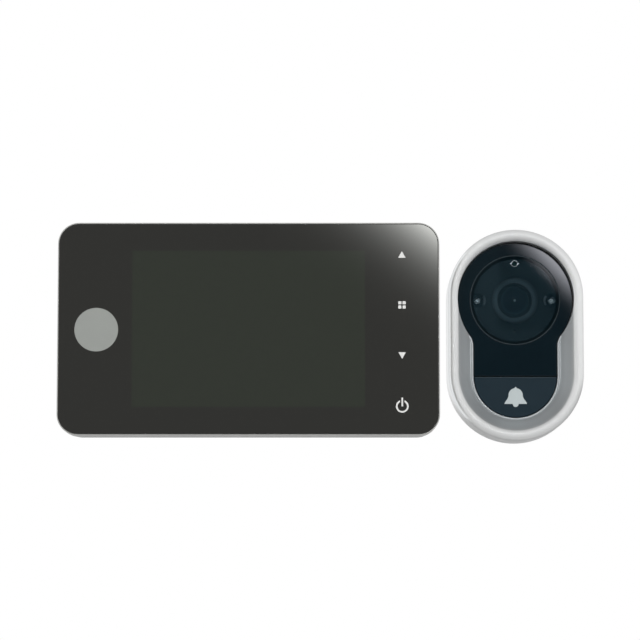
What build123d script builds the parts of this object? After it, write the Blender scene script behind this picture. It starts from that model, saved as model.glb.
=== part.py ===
from build123d import *
import math
import os

# Peephole door camera: an outdoor doorbell camera and its indoor monitor, side by side.
# Millimetres. +X is right and +Z is up, seen from the front, and +Y goes into the door.
# The origin is the camera barrel's axis at the door plane, Y = 0.
# A height is a distance in front of the door plane, towards -Y.

# Clearances shared by both units
FIT = 0.1
RUNNING_FIT = 0.05
SEAT_GAP = 0.2
OVERRUN = 1.0

# Camera housing, a stadium with two arcs
HOUSING_ARC_PITCH = 27.9
HOUSING_ARC_RISE = 0.75
HOUSING_WALL = 2.2
GASKET_THICKNESS = 1.0
GASKET_INSET = 1.0
CREST_ABOVE_PANEL = 5.5
RIM_ROUND = 2.2
RIM_WIDTH = 3.2
RIM_INNER_ROUND = 2.1
DISH_FLOOR_WIDTH = 0.4
DISH_FLOOR_BELOW_LIP = 0.3
LIP_WIDTH = 0.7
LIP_PROUD = 0.4
LIP_CHAMFER = 0.25
DISH_FLOOR_THICKNESS = 1.7

# Keyhole outline of the black front
HEAD_INSET = 3.5
NECK_INSET = 9.3
NECK_FILLET = 6.4
PARTING_BELOW_ARC = 0.2

# Front panel and round window
PANEL_FLANGE_WIDTH = 1.0
PANEL_FLANGE_THICKNESS = 1.2
WINDOW_BAND = 7.9
WINDOW_INSET = 4.8
WINDOW_THICKNESS = 1.5
WINDOW_TAPE_THICKNESS = 0.2
WINDOW_LEDGE_WIDTH = 1.2
WINDOW_EDGE_CHAMFER = 0.15
PANEL_EDGE_CHAMFER = 0.2

# Doorbell button and its mark
BUTTON_GAP = 0.2
BUTTON_PROUD = 0.2
BUTTON_TRAVEL = 0.5
BUTTON_FLANGE_WIDTH = 0.9
BUTTON_FLANGE_THICKNESS = 1.1
BUTTON_EDGE_ROUND = 0.4
BUTTON_NUB_RADIUS = 1.6
BELL_WIDTH = 8.3
BELL_HEIGHT = 7.4
BELL_BELOW_ARC = 7.6
INLAY_DEPTH = 0.3

# Side of the bell from crown to skirt, as shares of half its width and of its height from its middle
BELL_SIDE_SHARES = (
    (0.12, 0.42), (0.51, 0.28), (0.615, 0.15), (0.64, 0.01), (0.75, -0.12), (0.91, -0.25), (0.99, -0.35),
)
BELL_CLAPPER_SHARE = 0.145

# Camera board and the switch under the button
BOARD_THICKNESS = 1.2
BOARD_INSET = 0.6
BOARD_HEIGHT = 6.0
SWITCH_WIDTH = 6.0
SWITCH_BODY_HEIGHT = 2.0
PLUNGER_RADIUS = 1.2
PLUNGER_TOP_ABOVE_BODY = 0.7
PLUNGER_LENGTH = 1.7

# Shroud behind the window, lens ring, cups and marks
SHROUD_ABOVE_BOARD = 2.0
SHROUD_THICKNESS = 1.7
SHROUD_FRONT_GAP = 0.6
SHROUD_FLANGE_WIDTH = 0.9
LENS_RING_OUTER = 8.5
LENS_RING_INNER = 6.4
LENS_RING_EDGE = 0.15
LENS_RING_HEIGHT = 0.45
LED_INSET = 2.8
LED_RADIUS = 1.5
LED_FLANGE_RADIUS = 1.9
LED_FLANGE_HEIGHT = 1.0
CUP_RADIUS = 2.7
CUP_DEPTH = 0.9
SENSOR_INSET = 2.8
SENSOR_RADIUS = 0.75
SENSOR_BEZEL_RADIUS = 1.25
SENSOR_BEZEL_HALF_WIDTH = 1.85
SENSOR_BEZEL_THICKNESS = 0.25
MIC_BELOW_RING = 2.9
MIC_RADIUS = 2.0
MIC_HEIGHT = 1.8
MIC_CUP_RADIUS = 1.7
MIC_CUP_DEPTH = 0.5
MIC_PORT_RADIUS = 0.4

# Lens
LENS_TUBE_RADIUS = 6.2
LENS_BASE_WIDTH = 14.0
LENS_BASE_ROUND = 2.0
LENS_BASE_HEIGHT = 1.4
LENS_FRONT_RADIUS = 5.1
LENS_FRONT_EDGE = 0.7
LENS_FRONT_SAG = 0.8
LENS_REAR_RADIUS = 3.7
LENS_REAR_EDGE = 0.5
LENS_REAR_SAG = 0.3
LENS_FRONT_SETBACK = 0.2
SENSOR_CHIP_WIDTH = 6.4
SENSOR_CHIP_HEIGHT = 0.7
SENSOR_CAVITY_GAP = 0.4

# Back plate, camera screws and board screws
BACK_PLATE_THICKNESS = 2.0
CAMERA_BOSS_RADIUS = 2.4
UPPER_BOSS_INSET = 1.8
UPPER_BOSS_ANGLE = 45.0
SIDE_BOSS_GAP = 0.7
SIDE_BOSS_ABOVE_ARC = 5.4
FOOT_BOSS_INSET = 4.85
CAMERA_SCREW_RADIUS = 1.0
CAMERA_SCREW_HEAD_RADIUS = 1.9
CAMERA_SCREW_HEAD = 1.2
CAMERA_SCREW_LENGTH = 6.5
SCREW_RECESS = 0.1
BOARD_BOSS_RADIUS = 1.9
BOARD_BOSS_INSET = 2.9
BOARD_BOSS_SIDE_ANGLE = 20.0
BOARD_SCREW_RADIUS = 0.9
BOARD_SCREW_HEAD_RADIUS = 1.7
BOARD_SCREW_HEAD = 1.1
BOARD_SCREW_GRIP = 2.2
DRIVE_RADIUS_SHARE = 0.45
DRIVE_DEPTH_SHARE = 0.5

# Barrel through the door, and the washer and nut at the bracket that hold its end
BARREL_RADIUS = 7.0
BARREL_BORE_RADIUS = 5.0
BARREL_LENGTH = 50.0
BARREL_PLAIN_LENGTH = 12.0
BARREL_SHOULDER_STEP = 0.4
BARREL_FLANGE_RADIUS = 9.5
BARREL_FLANGE_THICKNESS = 1.0
THREAD_PITCH = 1.0
THREAD_DEPTH = 0.55
BARREL_END_CHAMFER = 0.6
WASHER_RADIUS = 11.0
WASHER_THICKNESS = 1.2
NUT_ACROSS_FLATS = 19.0
NUT_THICKNESS = 5.0
NUT_CHAMFER = 0.7
RIBBON_CONNECTOR_WIDTH = 8.0
RIBBON_CONNECTOR_DEPTH = 3.2
RIBBON_CONNECTOR_HEIGHT = 1.4
RIBBON_CONNECTOR_WALL = 0.35
RIBBON_SLOT = 0.3

# Monitor outline, and the room round what it holds
UNIT_GAP = 3.4
MONITOR_Z = -11.85
MONITOR_CORNER = 7.7
SCREW_TO_SIDE = 6.0
SCREW_TO_END = 7.05
HEAD_ROOM = 11.05
FRAME_DEPTH = 8.9
FRAME_WALL = 2.0
FRAME_LEDGE_THICKNESS = 1.2
FRAME_LEDGE_WIDTH = 4.0
GLASS_INSET = 0.5
GLASS_THICKNESS = 1.5
GLASS_PROUD = 0.3
GLASS_EDGE_CHAMFER = 0.15
MASK_THICKNESS = 0.1
TAPE_THICKNESS = 0.2
TAPE_WIDTH = 3.0
FRAME_EDGE_ROUND = 0.25

# Marks on the monitor's glass
BADGE_SETBACK = 14.1
BADGE_DROP = 0.4
BADGE_RADIUS = 7.9
KEY_SETBACK = 13.6
KEY_COUNT = 4
KEY_COLUMN_DROP = 0.6
ARROW_WIDTH = 2.7
ARROW_HEIGHT = 2.4
MENU_WIDTH = 2.7
MENU_SQUARE = 1.15
MENU_ROUND = 0.2
POWER_RADIUS = 2.3
POWER_STROKE = 0.6
POWER_BAR_ABOVE = 0.85
POWER_GAP_WIDTH = 1.6
MARK_DEPTH = 0.2

# Picture module
PANEL_MARGIN = 2.5
LCD_PANEL_THICKNESS = 1.4
BACKLIGHT_THICKNESS = 1.9
LCD_FRAME_SHEET = 0.3
LCD_FRAME_GAP = 0.15
TOUCH_BOARD_WIDTH = 9.0
TOUCH_BOARD_MARGIN = 4.0
TOUCH_BOARD_ROOM = 5.95
TOUCH_BOARD_END_ROOM = 1.025
TRAY_ROOM = 1.3
TOUCH_BOARD_THICKNESS = 0.3

# Monitor rear housing
BRACKET_PAD_THICKNESS = 0.8
BRACKET_SHEET = 1.2
BRACKET_GAP = 0.5
REAR_INSET = 0.6
REAR_EDGE_ROUND = 2.2
REAR_WALL = 1.8
SIDE_WALL = 2.4
TONGUE_HEIGHT = 1.5
MAIN_BOARD_THICKNESS = 1.0
MAIN_BOARD_MARGIN = 1.5
MAIN_BOARD_ROUND = 4.0

# Monitor screws
HOUSING_TUBE_RADIUS = 2.9
HOUSING_SCREW_RADIUS = 1.1
HOUSING_SCREW_HEAD_RADIUS = 2.0
HOUSING_SCREW_HEAD = 1.4
HOUSING_SCREW_LENGTH = 10.5
HOUSING_SCREW_SEAT_DEPTH = 9.5
HOUSING_SCREW_WALL = 0.2
FRAME_BOSS_RADIUS = 2.6
BOSS_GAP = 0.1
BOSS_BESIDE_BAY = 0.25

# Batteries, four AA cells in two bays
CELL_RADIUS = 7.25
CELL_BODY_LENGTH = 49.5
CELL_NUB_RADIUS = 2.75
CELL_NUB_LENGTH = 1.0
CELL_EDGE_CHAMFER = 0.6
CELL_ROW_GAP = 0.9
BAY_RIB = 1.5
BAY_WALL = 1.9
BAY_FLOOR = 1.0
BAY_SIDE_GAP = 0.45
CELL_COVER_GAP = 0.5
CONTACT_SHEET = 0.4
CONTACT_WIDTH = 9.0
SPRING_BASE_RADIUS = 4.0
SPRING_TIP_RADIUS = 2.2
SPRING_LENGTH = 6.2

# Battery cover
COVER_THICKNESS = 1.6
COVER_SKIN = 0.8
COVER_RAIL_WIDTH = 2.2
COVER_LAP = 1.3
COVER_TOP_LAP = 1.0
GRIP_WIDTH = 16.0
GRIP_GROOVE = 0.9
GRIP_DEPTH = 0.35
GRIP_PITCH = 2.0
GRIP_COUNT = 5
GRIP_RISE = 8.0

# Door bracket, its hooks and holes, and the cable recess in front of it
BRACKET_BESIDE_HOOK = 12.0
BRACKET_FOOT = 3.8
BRACKET_TOP_SETBACK = 2.05
BRACKET_ROUND = 3.0
BRACKET_BORE_GAP = 0.2
HOOK_BESIDE_SPEAKER = 2.8
HOOK_ABOVE_BAY = 3.15
HOOK_TOP_ROOM = 0.55
HOOK_WIDTH = 8.0
HOOK_HEAD = 5.0
HOOK_WINDOW = 7.0
HOOK_SIDE_GAP = 0.4
MONITOR_LIFT = 6.0
HOLE_BESIDE_RECESS = 9.5
BRACKET_HOLE_RADIUS = 2.1
SCREW_HEAD_ROOM_RADIUS = 4.5
SCREW_HEAD_ROOM_DEPTH = 1.1
PAD_WIDTH = 10.0
PAD_SIDE_SETBACK = 2.5
PAD_END_SETBACK = 3.25
RECESS_ROOM = 0.3
RECESS_ABOVE_BAY = 0.45
RECESS_DEPTH = 9.5
RECESS_WALL = 1.2
RECESS_ROUND = 2.0

# Ribbon socket, card, USB, speaker and chips
SOCKET_WIDTH = 18.0
SOCKET_DEPTH = 5.5
SOCKET_IN_RECESS = 0.5
SOCKET_CAVITY_DEPTH = 6.0
SOCKET_WALL = 1.2
SOCKET_SLOT_GAP = 0.4
CARD_LENGTH = 15.0
CARD_WIDTH = 11.0
CARD_THICKNESS = 0.8
CARD_SETBACK = 0.4
CARD_BELOW_BORE = 1.0
CARD_SOCKET_WALL = 0.35
CARD_SOCKET_LENGTH = 13.0
CARD_SLOT_GAP = 0.3
USB_WIDTH = 7.5
USB_LENGTH = 5.6
USB_HEIGHT = 2.6
USB_SHEET = 0.35
USB_ABOVE_BORE = 5.0
USB_TONGUE_SHARE = 0.3
SPEAKER_SETBACK = 17.0
SPEAKER_BELOW_BORE = 1.0
SPEAKER_RADIUS = 10.0
SPEAKER_HEIGHT = 4.5
SPEAKER_CONE_RADIUS = 7.5
SPEAKER_CONE_DEPTH = 0.8
SPEAKER_RING_WALL = 1.0
SPEAKER_RING_HEIGHT = 2.0
GRILLE_HOLE_RADIUS = 0.7
GRILLE_PITCH = 3.0
GRILLE_RINGS = 2
CHIP_HEIGHT = 1.3

# Chips on the main board: centre across, centre up, width and height, as shares of the monitor's sizes
CHIP_SHARES = (
    (0.203, 0.233, 0.087, 0.156),
    (0.319, 0.259, 0.065, 0.091),
    (-0.188, 0.259, 0.072, 0.104),
    (-0.217, 0.078, 0.051, 0.091),
)

# Heights of the camera unit's layers
BACK_PLATE_HEIGHT = GASKET_THICKNESS + BACK_PLATE_THICKNESS
BOARD_TOP = BOARD_HEIGHT + BOARD_THICKNESS
SHROUD_BACK = BOARD_TOP + SHROUD_ABOVE_BOARD
SHROUD_FRONT = SHROUD_BACK + SHROUD_THICKNESS
WINDOW_BACK_HEIGHT = SHROUD_FRONT + SHROUD_FRONT_GAP
WINDOW_LEDGE_HEIGHT = WINDOW_BACK_HEIGHT - WINDOW_TAPE_THICKNESS
PANEL_FACE_HEIGHT = WINDOW_BACK_HEIGHT + WINDOW_THICKNESS
LENS_FRONT_HEIGHT = SHROUD_FRONT - LENS_FRONT_SETBACK
LENS_SHOULDER_HEIGHT = LENS_FRONT_HEIGHT - LENS_FRONT_SAG / 2 - LENS_FRONT_EDGE
CREST_HEIGHT = PANEL_FACE_HEIGHT + CREST_ABOVE_PANEL
LIP_HEIGHT = PANEL_FACE_HEIGHT + LIP_PROUD
DISH_FLOOR_HEIGHT = LIP_HEIGHT - DISH_FLOOR_BELOW_LIP
HOUSING_CEILING = DISH_FLOOR_HEIGHT - DISH_FLOOR_THICKNESS
PANEL_BACK_HEIGHT = HOUSING_CEILING - PANEL_FLANGE_THICKNESS
BUTTON_FACE_HEIGHT = PANEL_FACE_HEIGHT + BUTTON_PROUD
BUTTON_FLANGE_TOP = HOUSING_CEILING - FIT
BUTTON_BACK_HEIGHT = BUTTON_FLANGE_TOP - BUTTON_FLANGE_THICKNESS
SWITCH_TOP = BOARD_TOP + SWITCH_BODY_HEIGHT
PLUNGER_TOP = SWITCH_TOP + PLUNGER_TOP_ABOVE_BODY
BARREL_END = -BARREL_LENGTH

# Outlines and places on the camera unit
WINDOW_RADIUS = LENS_RING_OUTER + WINDOW_BAND
HEAD_RADIUS = WINDOW_RADIUS + WINDOW_INSET
HOUSING_RADIUS = HEAD_RADIUS + HEAD_INSET
NECK_HALF_WIDTH = HOUSING_RADIUS - NECK_INSET
DISH_FLOOR_INSET = NECK_INSET - LIP_WIDTH - DISH_FLOOR_WIDTH
BUTTON_ARC_DROP = HOUSING_ARC_PITCH
PARTING_DROP = BUTTON_ARC_DROP + PARTING_BELOW_ARC
BELL_DROP = BUTTON_ARC_DROP + BELL_BELOW_ARC
LED_OFFSET = WINDOW_RADIUS - LED_INSET
SENSOR_RISE = WINDOW_RADIUS - SENSOR_INSET
MIC_DROP = LENS_RING_OUTER + MIC_BELOW_RING
UPPER_BOSS_RING_RADIUS = HEAD_RADIUS - UPPER_BOSS_INSET
SIDE_BOSS_OFFSET = HOUSING_RADIUS - HOUSING_WALL - SIDE_BOSS_GAP - CAMERA_BOSS_RADIUS
SIDE_BOSS_DROP = BUTTON_ARC_DROP - SIDE_BOSS_ABOVE_ARC
FOOT_BOSS_DROP = HOUSING_ARC_PITCH - HOUSING_ARC_RISE + HOUSING_RADIUS - FOOT_BOSS_INSET
BOARD_BOSS_RING_RADIUS = HEAD_RADIUS - BOARD_BOSS_INSET
BOARD_BOSS_NECK_DROP = (WINDOW_RADIUS + PARTING_DROP) / 2
SHOULDER_RADIUS = BARREL_RADIUS + BARREL_SHOULDER_STEP

# Heights of the monitor's layers
PAD_TOP = BRACKET_PAD_THICKNESS
BRACKET_TOP = PAD_TOP + BRACKET_SHEET
REAR_FACE = BRACKET_TOP + BRACKET_GAP
REAR_WALL_TOP = REAR_FACE + REAR_WALL
COVER_TOP = REAR_FACE + COVER_THICKNESS
CELL_AXIS_HEIGHT = COVER_TOP + CELL_COVER_GAP + CELL_RADIUS
BAY_CEILING = CELL_AXIS_HEIGHT + CELL_RADIUS + SEAT_GAP
BAY_TOP = BAY_CEILING + BAY_FLOOR
MAIN_BOARD_TOP = BAY_TOP + MAIN_BOARD_THICKNESS
BACKLIGHT_BOTTOM = MAIN_BOARD_TOP + LCD_FRAME_SHEET
LCD_PANEL_BOTTOM = BACKLIGHT_BOTTOM + BACKLIGHT_THICKNESS
LCD_PANEL_TOP = LCD_PANEL_BOTTOM + LCD_PANEL_THICKNESS
GLASS_BACK = LCD_PANEL_TOP + MASK_THICKNESS
GLASS_FRONT = GLASS_BACK + GLASS_THICKNESS
LEDGE_TOP = LCD_PANEL_TOP - TAPE_THICKNESS
LEDGE_BOTTOM = LEDGE_TOP - FRAME_LEDGE_THICKNESS
FRAME_FRONT = GLASS_FRONT - GLASS_PROUD
FRAME_BACK = FRAME_FRONT - FRAME_DEPTH
TONGUE_TOP = FRAME_BACK + TONGUE_HEIGHT
SCREW_SEAT_HEIGHT = REAR_FACE + HOUSING_SCREW_SEAT_DEPTH
HOOK_NECK_TOP = REAR_WALL_TOP + SEAT_GAP
RECESS_FLOOR = REAR_FACE + RECESS_DEPTH

# Battery bay and cable recess, which set the monitor's width and height
CELL_ROW_PITCH = 2 * CELL_RADIUS + CELL_ROW_GAP
BAY_LENGTH = CELL_BODY_LENGTH + CELL_NUB_LENGTH + SPRING_LENGTH + 2 * CONTACT_SHEET
BAY_HALF_LENGTH = BAY_RIB / 2 + BAY_LENGTH
BAY_INNER_HEIGHT = CELL_ROW_PITCH + 2 * CELL_RADIUS + 2 * BAY_SIDE_GAP
RECESS_RADIUS = WASHER_RADIUS + RECESS_ROOM
RECESS_WIDTH = 2 * RECESS_RADIUS
RECESS_HEIGHT = 2 * RECESS_RADIUS + MONITOR_LIFT
HOUSING_SCREW_OFFSET = BAY_HALF_LENGTH + BAY_WALL + BOSS_BESIDE_BAY + FRAME_BOSS_RADIUS
BELOW_BAY_TOP = REAR_INSET + SIDE_WALL + FIT + BAY_INNER_HEIGHT + BAY_WALL
MONITOR_WIDTH = 2 * (HOUSING_SCREW_OFFSET + SCREW_TO_SIDE)
MONITOR_HEIGHT = BELOW_BAY_TOP + RECESS_ABOVE_BAY + RECESS_HEIGHT + RECESS_WALL + HEAD_ROOM
MONITOR_X = -(HOUSING_RADIUS + UNIT_GAP + MONITOR_WIDTH / 2)

# Places across and up from the monitor's middle
REAR_WIDTH = MONITOR_WIDTH - 2 * REAR_INSET
REAR_HEIGHT = MONITOR_HEIGHT - 2 * REAR_INSET
REAR_CORNER = MONITOR_CORNER - REAR_INSET
BAY_LOW = -REAR_HEIGHT / 2 + SIDE_WALL + FIT
BAY_HIGH = BAY_LOW + BAY_INNER_HEIGHT
BAY_MIDDLE = (BAY_LOW + BAY_HIGH) / 2
BAY_OUTER_HIGH = BAY_HIGH + BAY_WALL
COVER_HALF_WIDTH = BAY_HALF_LENGTH - COVER_LAP
RAIL_HALF_WIDTH = COVER_HALF_WIDTH + COVER_RAIL_WIDTH
COVER_HIGH = BAY_HIGH + COVER_TOP_LAP / 2
HOUSING_SCREW_RISE = MONITOR_HEIGHT / 2 - SCREW_TO_END
BORE_RISE = BAY_OUTER_HIGH + RECESS_ABOVE_BAY + MONITOR_LIFT + RECESS_RADIUS
SPEAKER_OFFSET = SPEAKER_SETBACK - MONITOR_WIDTH / 2
SPEAKER_RISE = BORE_RISE - SPEAKER_BELOW_BORE
SPEAKER_RIM = SPEAKER_RADIUS + SEAT_GAP + SPEAKER_RING_WALL
HOOK_OFFSET = -SPEAKER_OFFSET - SPEAKER_RIM - HOOK_BESIDE_SPEAKER - HOOK_WIDTH / 2
HOOK_SLOT_HEIGHT = BRACKET_SHEET + MONITOR_LIFT + HOOK_SIDE_GAP
LOWER_HOOK_RISE = BAY_OUTER_HIGH + HOOK_ABOVE_BAY + HOOK_SLOT_HEIGHT
UPPER_HOOK_RISE = REAR_HEIGHT / 2 - SIDE_WALL - HOOK_TOP_ROOM - HOOK_HEAD
BRACKET_WIDTH = 2 * (HOOK_OFFSET + BRACKET_BESIDE_HOOK)
BRACKET_LOW = LOWER_HOOK_RISE - BRACKET_SHEET - HOOK_WINDOW - BRACKET_FOOT
BRACKET_HIGH = MONITOR_HEIGHT / 2 - BRACKET_TOP_SETBACK
BRACKET_HOLE_OFFSET = RECESS_RADIUS + RECESS_WALL + HOLE_BESIDE_RECESS
PAD_OFFSET = BRACKET_WIDTH / 2 - PAD_SIDE_SETBACK - PAD_WIDTH / 2
PAD_HEIGHT = BRACKET_HIGH - BRACKET_LOW - 2 * PAD_END_SETBACK
CARD_RISE = BORE_RISE - CARD_BELOW_BORE
USB_RISE = BORE_RISE + USB_ABOVE_BORE

# Picture, keys and badge, from the frame's opening
OPENING_WIDTH = MONITOR_WIDTH - 2 * (FRAME_WALL + FRAME_LEDGE_WIDTH)
OPENING_HEIGHT = MONITOR_HEIGHT - 2 * (FRAME_WALL + FRAME_LEDGE_WIDTH)
TRAY_MARGIN = PANEL_MARGIN + LCD_FRAME_GAP + LCD_FRAME_SHEET
KEY_OFFSET = MONITOR_WIDTH / 2 - KEY_SETBACK
KEY_SPAN = OPENING_HEIGHT - 2 * (TOUCH_BOARD_MARGIN + TOUCH_BOARD_END_ROOM)
KEY_PITCH = KEY_SPAN / (KEY_COUNT - 1)
PICTURE_WIDTH = 2 * (KEY_OFFSET - TOUCH_BOARD_WIDTH / 2 - TOUCH_BOARD_ROOM - TRAY_MARGIN)
PICTURE_HEIGHT = OPENING_HEIGHT - 2 * (TRAY_ROOM + TRAY_MARGIN)
BADGE_OFFSET = BADGE_SETBACK - MONITOR_WIDTH / 2


def slab(outline, low, high):
    """Raise a flat outline from one height in front of the door plane to another."""
    return extrude(Plane.XZ.offset(low) * outline, high - low)


def turned(profile, x=0, z=0):
    """Turn a profile of (radius, height) points about an axis square to the door."""
    face = make_face(Polyline(*[(radius, -height) for radius, height in profile], close=True))
    return Pos(x, 0, z) * revolve(face, Axis.Y)


def disc(radius, low, high, x=0, z=0):
    """A round slab at one place."""
    return slab(Pos(x, z) * Circle(radius), low, high)


def block(width, height, low, high, x=0, z=0):
    """A rectangular slab at one place."""
    return slab(Pos(x, z) * Rectangle(width, height), low, high)


def front_edges(body):
    """Edges of the face that lies furthest from the door."""
    return body.faces().sort_by(Axis.Y)[0].edges()


def back_edges(body):
    """Edges of the face that lies nearest to the door."""
    return body.faces().sort_by(Axis.Y)[-1].edges()


def group(bodies):
    """Several separate solids kept together in one node."""
    return Compound(children=[solid for body in bodies for solid in body.solids()])


def screw(x, z, seat, head_radius, head_height, radius, length):
    """A pan head below its seat and a shank above it, with a cross recess."""
    head = disc(head_radius, seat - head_height, seat, x, z)
    head = chamfer(back_edges(head), head_height * DRIVE_RADIUS_SHARE)
    shank = disc(radius, seat, seat + length, x, z)
    depth = head_height * DRIVE_DEPTH_SHARE
    slot = head_radius * DRIVE_RADIUS_SHARE
    low = seat - head_height - OVERRUN
    cross = block(2 * slot, slot / 2, low, low + OVERRUN + depth, x, z)
    cross += block(slot / 2, 2 * slot, low, low + OVERRUN + depth, x, z)
    return head + shank - cross


# Camera unit outlines


def stadium(grow):
    """The housing's outline, grown outwards all round."""
    middle = HOUSING_ARC_RISE - HOUSING_ARC_PITCH / 2
    return Pos(0, middle) * SlotCenterToCenter(HOUSING_ARC_PITCH, 2 * (HOUSING_RADIUS + grow), 90)


def keyhole(grow):
    """Round head, straight neck and half-round foot of the black front, grown outwards."""
    head = HEAD_RADIUS + grow
    half = NECK_HALF_WIDTH + grow
    neck = Pos(0, -BUTTON_ARC_DROP / 2) * Rectangle(2 * half, BUTTON_ARC_DROP)
    outline = Circle(head) + neck + Pos(0, -BUTTON_ARC_DROP) * Circle(half)
    corner_drop = math.sqrt(head**2 - half**2)
    corners = [v for v in outline.vertices() if abs(v.Y + corner_drop) < FIT]
    return fillet(corners, NECK_FILLET - grow)


def above_parting(gap):
    """A flat area that keeps what lies above the parting line, less a gap."""
    size = 2 * HOUSING_ARC_PITCH + 2 * HOUSING_RADIUS
    return Pos(0, -PARTING_DROP + gap + size / 2) * Rectangle(size, size)


def below_parting(gap):
    """A flat area that keeps what lies below the parting line, less a gap."""
    size = 2 * HOUSING_ARC_PITCH + 2 * HOUSING_RADIUS
    return Pos(0, -PARTING_DROP - gap - size / 2) * Rectangle(size, size)


def upper_boss_places():
    """Two screw places beside the head, carried by the front panel."""
    angle = math.radians(UPPER_BOSS_ANGLE)
    across = UPPER_BOSS_RING_RADIUS * math.cos(angle)
    rise = UPPER_BOSS_RING_RADIUS * math.sin(angle)
    return [(-across, rise), (across, rise)]


def lower_boss_places():
    """Three screw places beside and under the button, carried by the housing."""
    return [(-SIDE_BOSS_OFFSET, -SIDE_BOSS_DROP), (SIDE_BOSS_OFFSET, -SIDE_BOSS_DROP), (0, -FOOT_BOSS_DROP)]


def board_boss_places():
    """Four places where the camera board is screwed to the front panel."""
    angle = math.radians(BOARD_BOSS_SIDE_ANGLE)
    across = BOARD_BOSS_RING_RADIUS * math.cos(angle)
    drop = BOARD_BOSS_RING_RADIUS * math.sin(angle)
    return [(0, BOARD_BOSS_RING_RADIUS), (-across, -drop), (across, -drop), (0, -BOARD_BOSS_NECK_DROP)]


def pilot_holes(places, radius, low, high):
    """Screw holes at several places."""
    return [disc(radius, low, high, x, z) for x, z in places]


# Camera unit pieces


def camera_housing():
    """Silver shell: rounded rim, dish sloping in to the keyhole well, and a small lip round the well."""
    shell = slab(stadium(0), GASKET_THICKNESS, CREST_HEIGHT)
    shell = fillet(front_edges(shell), RIM_ROUND)
    rim = Plane.XZ.offset(CREST_HEIGHT) * stadium(-RIM_WIDTH)
    floor = Plane.XZ.offset(DISH_FLOOR_HEIGHT) * stadium(-DISH_FLOOR_INSET)
    shell -= loft([floor, rim], ruled=True)
    crest = shell.faces().sort_by(Axis.Y)[0]
    shell = fillet(crest.inner_wires()[0].edges(), RIM_INNER_ROUND)
    lip = slab(keyhole(LIP_WIDTH), HOUSING_CEILING, LIP_HEIGHT)
    shell += chamfer(front_edges(lip), LIP_CHAMFER)
    shell -= slab(keyhole(0), GASKET_THICKNESS, CREST_HEIGHT + OVERRUN)
    shell -= slab(stadium(-HOUSING_WALL), GASKET_THICKNESS, HOUSING_CEILING)
    for x, z in lower_boss_places():
        shell += disc(CAMERA_BOSS_RADIUS, BACK_PLATE_HEIGHT, HOUSING_CEILING, x, z)
    reach = BACK_PLATE_HEIGHT + CAMERA_SCREW_LENGTH
    return shell - pilot_holes(
        lower_boss_places(), CAMERA_SCREW_RADIUS + RUNNING_FIT, BACK_PLATE_HEIGHT, reach
    )


def front_panel():
    """Gloss black keyhole plate with a stepped window hole, a flange and screw bosses behind."""
    face = keyhole(-FIT) & above_parting(0)
    panel = slab(face, HOUSING_CEILING, PANEL_FACE_HEIGHT)
    panel = chamfer(front_edges(panel), PANEL_EDGE_CHAMFER)
    panel += slab(keyhole(PANEL_FLANGE_WIDTH) & above_parting(0), PANEL_BACK_HEIGHT, HOUSING_CEILING)
    for x, z in board_boss_places():
        panel += disc(BOARD_BOSS_RADIUS, BOARD_TOP, PANEL_BACK_HEIGHT, x, z)
    for x, z in upper_boss_places():
        panel += disc(CAMERA_BOSS_RADIUS, BACK_PLATE_HEIGHT, PANEL_BACK_HEIGHT, x, z)
    panel -= disc(WINDOW_RADIUS + FIT, WINDOW_LEDGE_HEIGHT, PANEL_FACE_HEIGHT + OVERRUN)
    panel -= disc(WINDOW_RADIUS - WINDOW_LEDGE_WIDTH, PANEL_BACK_HEIGHT, WINDOW_LEDGE_HEIGHT)
    board_reach = BOARD_TOP + BOARD_SCREW_GRIP + FIT
    panel -= pilot_holes(board_boss_places(), BOARD_SCREW_RADIUS + RUNNING_FIT, BOARD_TOP, board_reach)
    plate_reach = BACK_PLATE_HEIGHT + CAMERA_SCREW_LENGTH
    return panel - pilot_holes(
        upper_boss_places(), CAMERA_SCREW_RADIUS + RUNNING_FIT, BACK_PLATE_HEIGHT, plate_reach
    )


def lens_window():
    """Round smoked window with a pinhole in front of the microphone."""
    pane = disc(WINDOW_RADIUS, WINDOW_BACK_HEIGHT, PANEL_FACE_HEIGHT)
    pane = chamfer(front_edges(pane), WINDOW_EDGE_CHAMFER)
    return pane - disc(MIC_PORT_RADIUS, WINDOW_BACK_HEIGHT, PANEL_FACE_HEIGHT, 0, -MIC_DROP)


def window_tape():
    """Adhesive ring between the window and its ledge."""
    ring = Circle(WINDOW_RADIUS) - Circle(WINDOW_RADIUS - WINDOW_LEDGE_WIDTH)
    return slab(ring, WINDOW_LEDGE_HEIGHT, WINDOW_BACK_HEIGHT)


def bell_mark():
    """A bell with a pointed crown, a dome flaring to its skirt and a small clapper, as one outline."""
    half = BELL_WIDTH / 2
    side = [(across * half, rise * BELL_HEIGHT) for across, rise in BELL_SIDE_SHARES]
    crown = (0, BELL_HEIGHT / 2)
    right = Spline(*side)
    left = Spline(*[(-x, z) for x, z in side])
    tip = Polyline((-side[0][0], side[0][1]), crown, side[0])
    foot = Line(side[-1], (-side[-1][0], side[-1][1]))
    clapper_radius = BELL_HEIGHT * BELL_CLAPPER_SHARE
    clapper = Pos(0, clapper_radius - BELL_HEIGHT / 2) * Circle(clapper_radius)
    return Pos(0, -BELL_DROP) * (make_face([tip, right, foot, left]) + clapper)


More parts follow.
